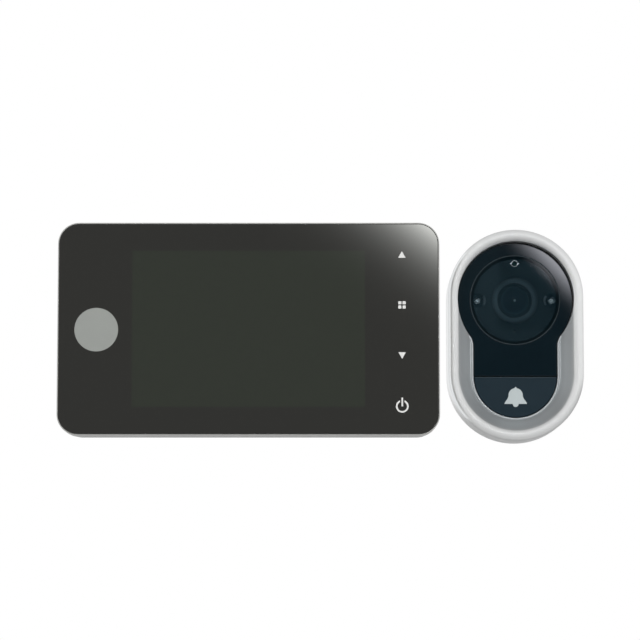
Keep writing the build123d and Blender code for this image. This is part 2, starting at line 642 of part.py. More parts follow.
def doorbell_button():
    """Half-round button cap with a flange behind, a nub over the switch and a pocket for the bell."""
    foot = Pos(0, -BUTTON_ARC_DROP)
    cap = (foot * Circle(NECK_HALF_WIDTH - BUTTON_GAP)) & below_parting(BUTTON_GAP)
    flange = (foot * Circle(NECK_HALF_WIDTH + BUTTON_FLANGE_WIDTH)) & below_parting(BUTTON_GAP)
    button = slab(cap, BUTTON_BACK_HEIGHT, BUTTON_FACE_HEIGHT)
    button = fillet(front_edges(button), BUTTON_EDGE_ROUND)
    button += slab(flange, BUTTON_BACK_HEIGHT, BUTTON_FLANGE_TOP)
    button += disc(BUTTON_NUB_RADIUS, PLUNGER_TOP, BUTTON_BACK_HEIGHT, 0, -BELL_DROP)
    return button - slab(bell_mark(), BUTTON_FACE_HEIGHT - INLAY_DEPTH, BUTTON_FACE_HEIGHT)


def bell_icon():
    """Pale bell set flush into the button."""
    return slab(bell_mark(), BUTTON_FACE_HEIGHT - INLAY_DEPTH, BUTTON_FACE_HEIGHT)


def switch_body():
    """Tactile switch under the button, with a well for its plunger."""
    body = block(SWITCH_WIDTH, SWITCH_WIDTH, BOARD_TOP, SWITCH_TOP, 0, -BELL_DROP)
    well_floor = PLUNGER_TOP - PLUNGER_LENGTH - BUTTON_TRAVEL
    return body - disc(PLUNGER_RADIUS + RUNNING_FIT, well_floor, SWITCH_TOP + OVERRUN, 0, -BELL_DROP)


def switch_plunger():
    """Round plunger that the button's nub pushes."""
    return disc(PLUNGER_RADIUS, PLUNGER_TOP - PLUNGER_LENGTH, PLUNGER_TOP, 0, -BELL_DROP)


def lens_shroud():
    """Black plate behind the window with the lens hole, LED cups, sensor port and microphone cup."""
    radius = WINDOW_RADIUS - WINDOW_LEDGE_WIDTH - FIT
    plate = disc(radius, SHROUD_BACK, SHROUD_FRONT)
    plate += disc(radius + SHROUD_FLANGE_WIDTH, SHROUD_BACK, PANEL_BACK_HEIGHT)
    plate -= disc(LENS_TUBE_RADIUS + FIT, SHROUD_BACK, SHROUD_FRONT)
    for x in (-LED_OFFSET, LED_OFFSET):
        hole = LED_RADIUS + FIT
        cup_floor = SHROUD_FRONT - CUP_DEPTH
        cone = [(0, cup_floor), (hole, cup_floor), (CUP_RADIUS, SHROUD_FRONT), (0, SHROUD_FRONT)]
        plate -= turned(cone, x)
        plate -= disc(hole, SHROUD_BACK, SHROUD_FRONT, x)
    plate -= disc(SENSOR_RADIUS, SHROUD_BACK, SHROUD_FRONT, 0, SENSOR_RISE)
    plate -= disc(MIC_CUP_RADIUS, SHROUD_FRONT - MIC_CUP_DEPTH, SHROUD_FRONT, 0, -MIC_DROP)
    return plate - disc(MIC_PORT_RADIUS, SHROUD_BACK, SHROUD_FRONT, 0, -MIC_DROP)


def lens_ring():
    """Bevelled ring round the lens, its face sloping in to the glass."""
    top = SHROUD_FRONT + LENS_RING_HEIGHT
    inner_top = SHROUD_FRONT + LENS_RING_EDGE
    return turned([
        (LENS_RING_INNER, SHROUD_FRONT), (LENS_RING_OUTER, SHROUD_FRONT), (LENS_RING_OUTER, inner_top),
        (LENS_RING_OUTER - LENS_RING_EDGE, top), (LENS_RING_INNER, inner_top),
    ])


def dome(radius, low, edge, sag):
    """A round glass with a flat back, a straight edge and a domed front."""
    curve = (radius**2 + sag**2) / (2 * sag)
    crown = low + edge + sag
    ball = Pos(0, curve - crown, 0) * Sphere(curve)
    return disc(radius, low, crown) & ball


def lens_barrel():
    """Lens tube on its square base, stepped inside for the two glasses and open over the sensor."""
    base_top = BOARD_TOP + LENS_BASE_HEIGHT
    base = slab(RectangleRounded(LENS_BASE_WIDTH, LENS_BASE_WIDTH, LENS_BASE_ROUND), BOARD_TOP, base_top)
    tube = base + disc(LENS_TUBE_RADIUS, base_top, LENS_FRONT_HEIGHT)
    tube -= disc(LENS_FRONT_RADIUS + RUNNING_FIT, LENS_SHOULDER_HEIGHT, LENS_FRONT_HEIGHT)
    tube -= disc(LENS_REAR_RADIUS + RUNNING_FIT, base_top, LENS_SHOULDER_HEIGHT)
    cavity = SENSOR_CHIP_WIDTH + 2 * SENSOR_CAVITY_GAP
    tube -= block(cavity, cavity, BOARD_TOP, BOARD_TOP + SENSOR_CHIP_HEIGHT + FIT)
    return tube - disc(LENS_REAR_RADIUS - SENSOR_CAVITY_GAP, BOARD_TOP, base_top)


def lens_elements():
    """Front and rear glasses, each seated in the tube."""
    base_top = BOARD_TOP + LENS_BASE_HEIGHT
    front = dome(LENS_FRONT_RADIUS, LENS_SHOULDER_HEIGHT, LENS_FRONT_EDGE, LENS_FRONT_SAG)
    rear = dome(LENS_REAR_RADIUS, base_top, LENS_REAR_EDGE, LENS_REAR_SAG)
    return group([front, rear])


def image_sensor():
    """Sensor chip on the board under the lens."""
    return block(SENSOR_CHIP_WIDTH, SENSOR_CHIP_WIDTH, BOARD_TOP, BOARD_TOP + SENSOR_CHIP_HEIGHT)


def camera_board():
    """Keyhole board with notches round the upper bosses and holes for its screws."""
    board = slab(keyhole(-BOARD_INSET), BOARD_HEIGHT, BOARD_TOP)
    for x, z in upper_boss_places():
        board -= disc(CAMERA_BOSS_RADIUS + SEAT_GAP, BOARD_HEIGHT, BOARD_TOP, x, z)
    return board - pilot_holes(board_boss_places(), BOARD_SCREW_RADIUS + FIT, BOARD_HEIGHT, BOARD_TOP)


def infrared_leds():
    """Two round-headed LEDs standing in the shroud's cups."""
    leds = []
    for x in (-LED_OFFSET, LED_OFFSET):
        top = SHROUD_FRONT - LED_RADIUS
        led = disc(LED_FLANGE_RADIUS, BOARD_TOP, BOARD_TOP + LED_FLANGE_HEIGHT, x)
        led += disc(LED_RADIUS, BOARD_TOP, top, x)
        led += Pos(x, -top, 0) * Sphere(LED_RADIUS)
        leds.append(led)
    return group(leds)


def light_sensor():
    """Daylight sensor under its port in the shroud."""
    return disc(SENSOR_RADIUS - RUNNING_FIT, BOARD_TOP, SHROUD_FRONT - SEAT_GAP, 0, SENSOR_RISE)


def sensor_bezel():
    """Bright ring with a point on each side, round the sensor's port."""
    half = SENSOR_BEZEL_HALF_WIDTH
    eye = Polyline((half, 0), (0, SENSOR_BEZEL_RADIUS), (-half, 0), (0, -SENSOR_BEZEL_RADIUS), close=True)
    outline = make_face(eye) + Circle(SENSOR_BEZEL_RADIUS) - Circle(SENSOR_RADIUS)
    return slab(Pos(0, SENSOR_RISE) * outline, SHROUD_FRONT, SHROUD_FRONT + SENSOR_BEZEL_THICKNESS)


def microphone():
    """Microphone capsule behind its cup."""
    capsule = disc(MIC_RADIUS, BOARD_TOP, BOARD_TOP + MIC_HEIGHT, 0, -MIC_DROP)
    top = BOARD_TOP + MIC_HEIGHT
    return capsule - disc(MIC_PORT_RADIUS, top - MIC_CUP_DEPTH, top, 0, -MIC_DROP)


def ribbon_connector():
    """Connector behind the board, over the barrel's bore, with a slot for the flat cable."""
    low = BOARD_HEIGHT - RIBBON_CONNECTOR_HEIGHT
    body = block(RIBBON_CONNECTOR_WIDTH, RIBBON_CONNECTOR_DEPTH, low, BOARD_HEIGHT)
    slot_width = RIBBON_CONNECTOR_WIDTH - 2 * RIBBON_CONNECTOR_WALL
    return body - block(slot_width, RIBBON_SLOT, low, low + RIBBON_CONNECTOR_HEIGHT / 2)


def board_screws():
    """Four screws that hold the camera board to the front panel."""
    return group([
        screw(x, z, BOARD_HEIGHT, BOARD_SCREW_HEAD_RADIUS, BOARD_SCREW_HEAD, BOARD_SCREW_RADIUS,
              BOARD_THICKNESS + BOARD_SCREW_GRIP)
        for x, z in board_boss_places()
    ])


def back_plate():
    """Stadium plate that closes the housing, with the barrel's hole and counterbored screw holes."""
    plate = slab(stadium(-HOUSING_WALL - FIT), GASKET_THICKNESS, BACK_PLATE_HEIGHT)
    plate -= disc(SHOULDER_RADIUS + RUNNING_FIT, GASKET_THICKNESS, BACK_PLATE_HEIGHT)
    places = lower_boss_places() + upper_boss_places()
    seat = GASKET_THICKNESS + SCREW_RECESS + CAMERA_SCREW_HEAD
    plate -= pilot_holes(places, CAMERA_SCREW_HEAD_RADIUS + FIT, GASKET_THICKNESS, seat)
    return plate - pilot_holes(places, CAMERA_SCREW_RADIUS + FIT, GASKET_THICKNESS, BACK_PLATE_HEIGHT)


def rear_gasket():
    """Foam gasket between the camera and the door."""
    sheet = stadium(-GASKET_INSET) - Circle(SHOULDER_RADIUS + SEAT_GAP)
    return slab(sheet, 0, GASKET_THICKNESS)


def camera_screws():
    """Five screws that hold the back plate."""
    seat = GASKET_THICKNESS + SCREW_RECESS + CAMERA_SCREW_HEAD
    return group([
        screw(x, z, seat, CAMERA_SCREW_HEAD_RADIUS, CAMERA_SCREW_HEAD, CAMERA_SCREW_RADIUS,
              CAMERA_SCREW_LENGTH)
        for x, z in lower_boss_places() + upper_boss_places()
    ])


def viewer_barrel():
    """Hollow barrel: a flange in the back plate, a shoulder in its hole, plain and threaded stretches."""
    flange_top = BACK_PLATE_HEIGHT + BARREL_FLANGE_THICKNESS
    root = BARREL_RADIUS - THREAD_DEPTH
    start = -BARREL_PLAIN_LENGTH
    stop = BARREL_END + BARREL_END_CHAMFER
    count = int((start - stop) / THREAD_PITCH)
    profile = [
        (BARREL_BORE_RADIUS, flange_top), (BARREL_FLANGE_RADIUS, flange_top),
        (BARREL_FLANGE_RADIUS, BACK_PLATE_HEIGHT), (SHOULDER_RADIUS, BACK_PLATE_HEIGHT),
        (SHOULDER_RADIUS, 0), (BARREL_RADIUS, 0),
    ]
    for turn in range(count):
        crest = start - turn * THREAD_PITCH
        profile.append((BARREL_RADIUS, crest))
        profile.append((root, crest - THREAD_PITCH / 2))
    profile.append((BARREL_RADIUS, start - count * THREAD_PITCH))
    profile.append((BARREL_RADIUS - BARREL_END_CHAMFER, BARREL_END))
    profile.append((BARREL_BORE_RADIUS, BARREL_END))
    return turned(profile)


# Monitor outlines, in the monitor's own frame


def at_monitor(outline):
    """Move a flat outline from the monitor's own frame to its place."""
    return Pos(MONITOR_X, MONITOR_Z) * outline


def rounded(width, height, corner):
    """A rounded rectangle centred on the monitor."""
    return at_monitor(RectangleRounded(width, height, corner))


def monitor_block(x, z, width, height, low, high):
    """A rectangular slab placed in the monitor's own frame."""
    return slab(at_monitor(Pos(x, z) * Rectangle(width, height)), low, high)


def monitor_disc(x, z, radius, low, high):
    """A round slab placed in the monitor's own frame."""
    return disc(radius, low, high, MONITOR_X + x, MONITOR_Z + z)


def glass_outline(grow):
    """Outline of the front glass, grown outwards."""
    width = MONITOR_WIDTH - 2 * GLASS_INSET + 2 * grow
    height = MONITOR_HEIGHT - 2 * GLASS_INSET + 2 * grow
    return rounded(width, height, MONITOR_CORNER - GLASS_INSET + grow)


def housing_screw_places():
    """Four corners of the monitor."""
    return [(x, z) for x in (-HOUSING_SCREW_OFFSET, HOUSING_SCREW_OFFSET)
            for z in (-HOUSING_SCREW_RISE, HOUSING_SCREW_RISE)]


def hook_places():
    """Sideways place and neck height of each hook."""
    return [(x, rise) for x in (-HOOK_OFFSET, HOOK_OFFSET) for rise in (LOWER_HOOK_RISE, UPPER_HOOK_RISE)]


def badge_outline():
    """Plain round badge."""
    return at_monitor(Pos(BADGE_OFFSET, -BADGE_DROP) * Circle(BADGE_RADIUS))


def arrow(direction):
    """A small triangle that points up or down."""
    half = ARROW_HEIGHT / 2 * direction
    return make_face(Polyline(
        (-ARROW_WIDTH / 2, -half), (ARROW_WIDTH / 2, -half), (0, half), close=True
    ))


def menu_squares():
    """Four small rounded squares."""
    step = (MENU_WIDTH - MENU_SQUARE) / 2
    return [Pos(x, z) * RectangleRounded(MENU_SQUARE, MENU_SQUARE, MENU_ROUND)
            for x in (-step, step) for z in (-step, step)]


def power_marks():
    """Open ring and upright bar of a power sign."""
    ring = Circle(POWER_RADIUS) - Circle(POWER_RADIUS - POWER_STROKE)
    gap = Pos(0, POWER_RADIUS) * Rectangle(POWER_GAP_WIDTH, 2 * POWER_RADIUS)
    bar_length = POWER_RADIUS + POWER_BAR_ABOVE
    bar = Pos(0, bar_length / 2) * Rectangle(POWER_STROKE, bar_length)
    return [ring - gap, bar]


def key_outlines():
    """Every touch-key mark at its place, from the top key down."""
    rows = [[arrow(1)], menu_squares(), [arrow(-1)], power_marks()]
    top = KEY_SPAN / 2 - KEY_COLUMN_DROP
    marks = []
    for index, row in enumerate(rows):
        place = Pos(KEY_OFFSET, top - index * KEY_PITCH)
        marks += [at_monitor(place * mark) for mark in row]
    return marks


# Monitor pieces


def front_glass():
    """Front glass with shallow pockets for the badge and the key marks."""
    glass = slab(glass_outline(0), GLASS_BACK, GLASS_FRONT)
    glass = chamfer(front_edges(glass), GLASS_EDGE_CHAMFER)
    glass -= slab(badge_outline(), GLASS_FRONT - MARK_DEPTH, GLASS_FRONT)
    for mark in key_outlines():
        glass -= slab(mark, GLASS_FRONT - MARK_DEPTH, GLASS_FRONT)
    return glass


def glass_mask():
    """Black film behind the glass, open over the picture."""
    sheet = glass_outline(-FIT) - at_monitor(Rectangle(PICTURE_WIDTH, PICTURE_HEIGHT))
    return slab(sheet, GLASS_BACK - MASK_THICKNESS, GLASS_BACK)


def badge_disc():
    """Plain badge disc, flush with the glass."""
    return slab(badge_outline(), GLASS_FRONT - MARK_DEPTH, GLASS_FRONT)


def key_icons():
    """Touch-key marks, flush with the glass."""
    return group([slab(mark, GLASS_FRONT - MARK_DEPTH, GLASS_FRONT) for mark in key_outlines()])


def glass_tape():
    """Adhesive frame between the mask and the ledge."""
    inner = GLASS_INSET + TAPE_WIDTH
    hole = rounded(MONITOR_WIDTH - 2 * inner, MONITOR_HEIGHT - 2 * inner, MONITOR_CORNER - inner)
    return slab(glass_outline(-FIT) - hole, LEDGE_TOP, LEDGE_TOP + TAPE_THICKNESS)


def frame_hollow(low, high):
    """The space inside the monitor frame's wall."""
    width = MONITOR_WIDTH - 2 * FRAME_WALL
    height = MONITOR_HEIGHT - 2 * FRAME_WALL
    return slab(rounded(width, height, MONITOR_CORNER - FRAME_WALL), low, high)


def monitor_frame():
    """Silver frame: a thin rim round the glass, a ledge behind it and four screw bosses."""
    frame = slab(rounded(MONITOR_WIDTH, MONITOR_HEIGHT, MONITOR_CORNER), FRAME_BACK, FRAME_FRONT)
    frame = fillet(front_edges(frame), FRAME_EDGE_ROUND)
    frame -= frame_hollow(FRAME_BACK, LEDGE_BOTTOM)
    frame -= slab(at_monitor(Rectangle(OPENING_WIDTH, OPENING_HEIGHT)), LEDGE_BOTTOM, LEDGE_TOP)
    frame -= slab(glass_outline(FIT), LEDGE_TOP, FRAME_FRONT + OVERRUN)
    for x, z in housing_screw_places():
        frame += monitor_disc(x, z, FRAME_BOSS_RADIUS, TONGUE_TOP + BOSS_GAP, LEDGE_TOP)
    screw_tip = SCREW_SEAT_HEIGHT + HOUSING_SCREW_LENGTH + FIT
    for x, z in housing_screw_places():
        frame -= monitor_disc(x, z, HOUSING_SCREW_RADIUS + RUNNING_FIT, TONGUE_TOP, screw_tip)
    return frame - card_slot() - usb_slot()


def lcd_size(grow):
    """Width and height of the picture panel, grown outwards."""
    return PICTURE_WIDTH + 2 * (PANEL_MARGIN + grow), PICTURE_HEIGHT + 2 * (PANEL_MARGIN + grow)


def lcd_panel():
    """Picture panel."""
    width, height = lcd_size(0)
    return monitor_block(0, 0, width, height, LCD_PANEL_BOTTOM, LCD_PANEL_TOP)


def lcd_backlight():
    """White light plate behind the picture panel."""
    width, height = lcd_size(0)
    return monitor_block(0, 0, width, height, BACKLIGHT_BOTTOM, LCD_PANEL_BOTTOM)


def lcd_frame():
    """Folded steel tray that holds the backlight and the panel."""
    outer = lcd_size(LCD_FRAME_GAP + LCD_FRAME_SHEET)
    inner = lcd_size(LCD_FRAME_GAP)
    tray = monitor_block(0, 0, *outer, MAIN_BOARD_TOP, LCD_PANEL_TOP)
    return tray - monitor_block(0, 0, *inner, BACKLIGHT_BOTTOM, LCD_PANEL_TOP)


def touch_board():
    """Thin sensor board behind the four keys."""
    length = KEY_SPAN + 2 * TOUCH_BOARD_MARGIN
    low = LCD_PANEL_TOP - TOUCH_BOARD_THICKNESS
    return monitor_block(KEY_OFFSET, -KEY_COLUMN_DROP, TOUCH_BOARD_WIDTH, length, low, LCD_PANEL_TOP)


def main_board():
    """Main board, notched round the frame's screw bosses."""
    margin = FRAME_WALL + MAIN_BOARD_MARGIN
    outline = rounded(MONITOR_WIDTH - 2 * margin, MONITOR_HEIGHT - 2 * margin, MAIN_BOARD_ROUND)
    board = slab(outline, BAY_TOP, MAIN_BOARD_TOP)
    for x, z in housing_screw_places():
        board -= monitor_disc(x, z, FRAME_BOSS_RADIUS + SEAT_GAP, BAY_TOP, MAIN_BOARD_TOP)
    return board


def board_chips():
    """Chips on the main board's rear face."""
    chips = []
    for across, rise, width, height in CHIP_SHARES:
        chips.append(monitor_block(
            across * MONITOR_WIDTH, rise * MONITOR_HEIGHT, width * MONITOR_WIDTH, height * MONITOR_HEIGHT,
            BAY_TOP - CHIP_HEIGHT, BAY_TOP,
        ))
    return group(chips)


def ribbon_socket():
    """Tall socket from the main board into the cable recess, open towards the door."""
    low = RECESS_FLOOR - SOCKET_IN_RECESS
    body = monitor_block(0, BORE_RISE, SOCKET_WIDTH, SOCKET_DEPTH, low, BAY_TOP)
    width = SOCKET_WIDTH - 2 * SOCKET_WALL
    depth = SOCKET_DEPTH - 2 * SOCKET_WALL
    return body - monitor_block(0, BORE_RISE, width, depth, low, low + SOCKET_CAVITY_DEPTH)


def card_box(grow, x_from, x_to):
    """A flat box round the card's section, grown all round, between two sideways places."""
    height = BAY_TOP - CARD_SOCKET_WALL - CARD_SLOT_GAP / 2 - CARD_THICKNESS / 2
    half = CARD_THICKNESS / 2 + grow
    return monitor_block(
        (x_from + x_to) / 2, CARD_RISE, x_to - x_from, CARD_WIDTH + 2 * grow, height - half, height + half
    )


def card_slot():
    """Slot in the frame's left wall that the card passes through."""
    edge = -MONITOR_WIDTH / 2
    return card_box(CARD_SLOT_GAP, edge - OVERRUN, edge + FRAME_WALL + OVERRUN)


def memory_card():
    """Memory card, seated."""
    outer = -MONITOR_WIDTH / 2 + CARD_SETBACK
    return card_box(0, outer, outer + CARD_LENGTH)


def card_socket():
    """Sheet metal socket round the seated card, open at its outer end."""
    outer = -MONITOR_WIDTH / 2 + FRAME_WALL + MAIN_BOARD_MARGIN
    inner = outer + CARD_SOCKET_LENGTH
    gap = CARD_SLOT_GAP / 2
    shell = card_box(gap + CARD_SOCKET_WALL, outer, inner)
    return shell - card_box(gap, outer, inner - CARD_SOCKET_WALL)


def usb_slot():
    """Opening in the frame's right wall in front of the USB socket."""
    height = USB_HEIGHT + 2 * SEAT_GAP
    low = BAY_TOP - USB_HEIGHT - SEAT_GAP
    length = 2 * (FRAME_WALL + OVERRUN)
    return monitor_block(MONITOR_WIDTH / 2, USB_RISE, length, USB_WIDTH + 2 * SEAT_GAP, low, low + height)


def usb_socket():
    """USB socket with its tongue, on the board's edge."""
    low = BAY_TOP - USB_HEIGHT
    middle = MONITOR_WIDTH / 2 - FRAME_WALL - SEAT_GAP - USB_LENGTH / 2
    shell = monitor_block(middle, USB_RISE, USB_LENGTH, USB_WIDTH, low, BAY_TOP)
    inner_width = USB_WIDTH - 2 * USB_SHEET
    inner_length = USB_LENGTH - USB_SHEET
    hollow = monitor_block(
        middle + USB_SHEET / 2, USB_RISE, inner_length, inner_width, low + USB_SHEET, BAY_TOP - USB_SHEET
    )
    tongue_half = USB_HEIGHT * USB_TONGUE_SHARE / 2
    tongue_middle = BAY_TOP - USB_HEIGHT / 2
    tongue = monitor_block(
        middle, USB_RISE, USB_LENGTH - 2 * USB_SHEET, inner_width - 2 * USB_SHEET,
        tongue_middle - tongue_half, tongue_middle + tongue_half,
    )
    back = monitor_block(
        middle - USB_LENGTH / 2 + USB_SHEET, USB_RISE, 2 * USB_SHEET, inner_width, low + USB_SHEET,
        BAY_TOP - USB_SHEET,
    )
    return shell - hollow + tongue + back


def speaker():
    """Round speaker against the rear wall, its cone towards the grille."""
    top = REAR_WALL_TOP + SPEAKER_HEIGHT
    body = monitor_disc(SPEAKER_OFFSET, SPEAKER_RISE, SPEAKER_RADIUS, REAR_WALL_TOP, top)
    x = MONITOR_X + SPEAKER_OFFSET
    z = MONITOR_Z + SPEAKER_RISE
    floor = REAR_WALL_TOP + SPEAKER_CONE_DEPTH
    cone = [
        (0, REAR_WALL_TOP), (SPEAKER_CONE_RADIUS, REAR_WALL_TOP),
        (SPEAKER_CONE_RADIUS / 2, floor), (0, floor),
    ]
    return body - turned(cone, x, z)


def grille_places():
    """Centre hole and rings of holes in front of the speaker."""
    places = [(0, 0)]
    for ring in range(1, GRILLE_RINGS + 1):
        for index in range(6 * ring):
            angle = 2 * math.pi * index / (6 * ring)
            places.append((ring * GRILLE_PITCH * math.cos(angle), ring * GRILLE_PITCH * math.sin(angle)))
    return places


def rear_envelope():
    """Outer form of the rear housing, rounded at the rear edge."""
    body = slab(rounded(REAR_WIDTH, REAR_HEIGHT, REAR_CORNER), REAR_FACE, FRAME_BACK)
    return fillet(back_edges(body), REAR_EDGE_ROUND)


def cover_form(gap):
    """Battery cover with its side rails, grown by a gap, running out at the foot."""
    foot = -REAR_HEIGHT / 2 - OVERRUN
    skin_high = COVER_HIGH + gap
    rail_high = COVER_HIGH + COVER_TOP_LAP + gap
    skin = monitor_block(
        0, (foot + skin_high) / 2, 2 * (COVER_HALF_WIDTH + gap), skin_high - foot,
        REAR_FACE - OVERRUN, COVER_TOP + gap,
    )
    rail = monitor_block(
        0, (foot + rail_high) / 2, 2 * (RAIL_HALF_WIDTH + gap), rail_high - foot,
        REAR_FACE + COVER_SKIN - gap, COVER_TOP + gap,
    )
    return skin + rail


def bay_space():
    """Room of the two battery bays."""
    bays = []
    for side in (-1, 1):
        middle = side * (BAY_RIB + BAY_LENGTH) / 2
        bays.append(monitor_block(middle, BAY_MIDDLE, BAY_LENGTH, BAY_INNER_HEIGHT, REAR_FACE, BAY_CEILING))
    return bays


def bay_walls():
    """Outer block of the battery bay, before its room is cut."""
    width = 2 * (BAY_HALF_LENGTH + BAY_WALL)
    height = BAY_INNER_HEIGHT + BAY_WALL
    return monitor_block(0, BAY_LOW + height / 2, width, height, REAR_FACE, BAY_TOP)


def recess_outline(grow):
    """Outline of the cable recess, with room for the nut when the monitor lifts, grown outwards."""
    shape = RectangleRounded(RECESS_WIDTH + 2 * grow, RECESS_HEIGHT + 2 * grow, RECESS_ROUND + grow)
    return at_monitor(Pos(0, BORE_RISE - MONITOR_LIFT / 2) * shape)


def cut_bracket_features(body):
    """Hook slots, screw head room and the grille in the rear wall."""
    for x, rise in hook_places():
        body -= monitor_block(
            x, rise - HOOK_SLOT_HEIGHT / 2, HOOK_WIDTH + 2 * HOOK_SIDE_GAP, HOOK_SLOT_HEIGHT,
            REAR_FACE - OVERRUN, REAR_WALL_TOP,
        )
    for x in (-BRACKET_HOLE_OFFSET, BRACKET_HOLE_OFFSET):
        room = Pos(x, BORE_RISE - MONITOR_LIFT / 2) * SlotCenterToCenter(
            MONITOR_LIFT, 2 * SCREW_HEAD_ROOM_RADIUS, 90
        )
        body -= slab(at_monitor(room), REAR_FACE, REAR_FACE + SCREW_HEAD_ROOM_DEPTH)
    for x, z in grille_places():
        body -= monitor_disc(
            SPEAKER_OFFSET + x, SPEAKER_RISE + z, GRILLE_HOLE_RADIUS, REAR_FACE - OVERRUN, REAR_WALL_TOP
        )
    return body


def rear_housing():
    """Rear shell with battery bay, rails, hook slots, cable recess, screw tubes and speaker ring."""
    wall = 2 * SIDE_WALL
    tongue_width = MONITOR_WIDTH - 2 * FRAME_WALL - 2 * FIT
    tongue_height = MONITOR_HEIGHT - 2 * FRAME_WALL - 2 * FIT
    tongue = rounded(tongue_width, tongue_height, MONITOR_CORNER - FRAME_WALL - FIT)
    body = rear_envelope() + slab(tongue, FRAME_BACK, TONGUE_TOP)
    hollow = rounded(REAR_WIDTH - wall, REAR_HEIGHT - wall, REAR_CORNER - SIDE_WALL)
    body -= slab(hollow, REAR_WALL_TOP, TONGUE_TOP)
    body += bay_walls()
    body += slab(recess_outline(RECESS_WALL), REAR_WALL_TOP, RECESS_FLOOR + RECESS_WALL)
    for x, z in housing_screw_places():
        body += monitor_disc(x, z, HOUSING_TUBE_RADIUS, REAR_WALL_TOP, TONGUE_TOP)
    seat = SPEAKER_RADIUS + SEAT_GAP
    ring_top = REAR_WALL_TOP + SPEAKER_RING_HEIGHT
    body += monitor_disc(SPEAKER_OFFSET, SPEAKER_RISE, SPEAKER_RIM, REAR_WALL_TOP, ring_top)
    body -= monitor_disc(SPEAKER_OFFSET, SPEAKER_RISE, seat, REAR_WALL_TOP, ring_top)
    for space in bay_space():
        body -= space
    body -= cover_form(FIT)
    body -= slab(recess_outline(0), REAR_FACE - OVERRUN, RECESS_FLOOR)
    slot_width = SOCKET_WIDTH + 2 * SOCKET_SLOT_GAP
    slot_depth = SOCKET_DEPTH + 2 * SOCKET_SLOT_GAP
    body -= monitor_block(0, BORE_RISE, slot_width, slot_depth, RECESS_FLOOR, RECESS_FLOOR + RECESS_WALL)
    head_room = HOUSING_SCREW_HEAD_RADIUS + HOUSING_SCREW_WALL
    for x, z in housing_screw_places():
        body -= monitor_disc(x, z, head_room, REAR_FACE - OVERRUN, SCREW_SEAT_HEIGHT)
        body -= monitor_disc(x, z, HOUSING_SCREW_RADIUS + FIT, SCREW_SEAT_HEIGHT, TONGUE_TOP)
    return cut_bracket_features(body) - usb_slot() - card_slot()


def battery_cover():
    """Sliding cover, flush with the rear face, with a grip of small grooves."""
    cover = cover_form(0) & rear_envelope()
    top = REAR_FACE + GRIP_DEPTH
    for index in range(GRIP_COUNT):
        rise = -REAR_HEIGHT / 2 + GRIP_RISE + index * GRIP_PITCH
        cover -= monitor_block(0, rise, GRIP_WIDTH, GRIP_GROOVE, REAR_FACE - OVERRUN, top)
    return cover


def cell_places():
    """Each cell's bay side, row side and the side its nub points to."""
    return [(bay, row, bay * row) for bay in (-1, 1) for row in (-1, 1)]


def cell_ends(bay, nub):
    """Sideways places of the nub's tip and of the flat end of a seated cell."""
    middle = bay * (BAY_RIB + BAY_LENGTH) / 2
    tip = middle + nub * (BAY_LENGTH / 2 - CONTACT_SHEET)
    return tip, tip - nub * (CELL_BODY_LENGTH + CELL_NUB_LENGTH)


def lying_cylinder(x_from, x_to, z, radius, tip_radius):
    """A round bar or cone along X at the cells' height, from one sideways place to another."""
    low, high = min(x_from, x_to), max(x_from, x_to)
    first, last = (radius, tip_radius) if x_from < x_to else (tip_radius, radius)
    profile = make_face(Polyline((low, 0), (high, 0), (high, last), (low, first), close=True))
    bar = revolve(profile, Axis.X)
    return Pos(MONITOR_X, -CELL_AXIS_HEIGHT, MONITOR_Z + z) * bar


def battery_cells():
    """Four AA cells, each with its nub."""
    cells = []
    for bay, row, nub in cell_places():
        tip, flat = cell_ends(bay, nub)
        z = BAY_MIDDLE + row * CELL_ROW_PITCH / 2
        shoulder = tip - nub * CELL_NUB_LENGTH
        body = lying_cylinder(flat, shoulder, z, CELL_RADIUS, CELL_RADIUS)
        ends = body.edges().filter_by(GeomType.CIRCLE)
        body = chamfer(ends, CELL_EDGE_CHAMFER)
        cells.append(body + lying_cylinder(shoulder, tip, z, CELL_NUB_RADIUS, CELL_NUB_RADIUS))
    return group(cells)


def battery_springs():
    """Cone-shaped contact springs at the flat end of each cell."""
    springs = []
    for bay, row, nub in cell_places():
        flat = cell_ends(bay, nub)[1]
        z = BAY_MIDDLE + row * CELL_ROW_PITCH / 2
        wall = bay * (BAY_RIB + BAY_LENGTH) / 2 - nub * (BAY_LENGTH / 2 - CONTACT_SHEET)
        springs.append(lying_cylinder(wall, flat, z, SPRING_BASE_RADIUS, SPRING_TIP_RADIUS))
    return group(springs)


def battery_plates():
    """A contact plate at each end of each cell."""
    plates = []
    for bay, row, _ in cell_places():
        z = BAY_MIDDLE + row * CELL_ROW_PITCH / 2
        middle = bay * (BAY_RIB + BAY_LENGTH) / 2
        for end in (-1, 1):
            x = middle + end * (BAY_LENGTH - CONTACT_SHEET) / 2
            low = CELL_AXIS_HEIGHT - CONTACT_WIDTH / 2
            plates.append(monitor_block(x, z, CONTACT_SHEET, CONTACT_WIDTH, low, low + CONTACT_WIDTH))
    return group(plates)


def housing_screws():
    """Four screws from the rear into the frame's bosses."""
    return group([
        screw(MONITOR_X + x, MONITOR_Z + z, SCREW_SEAT_HEIGHT, HOUSING_SCREW_HEAD_RADIUS, HOUSING_SCREW_HEAD,
              HOUSING_SCREW_RADIUS, HOUSING_SCREW_LENGTH)
        for x, z in housing_screw_places()
    ])


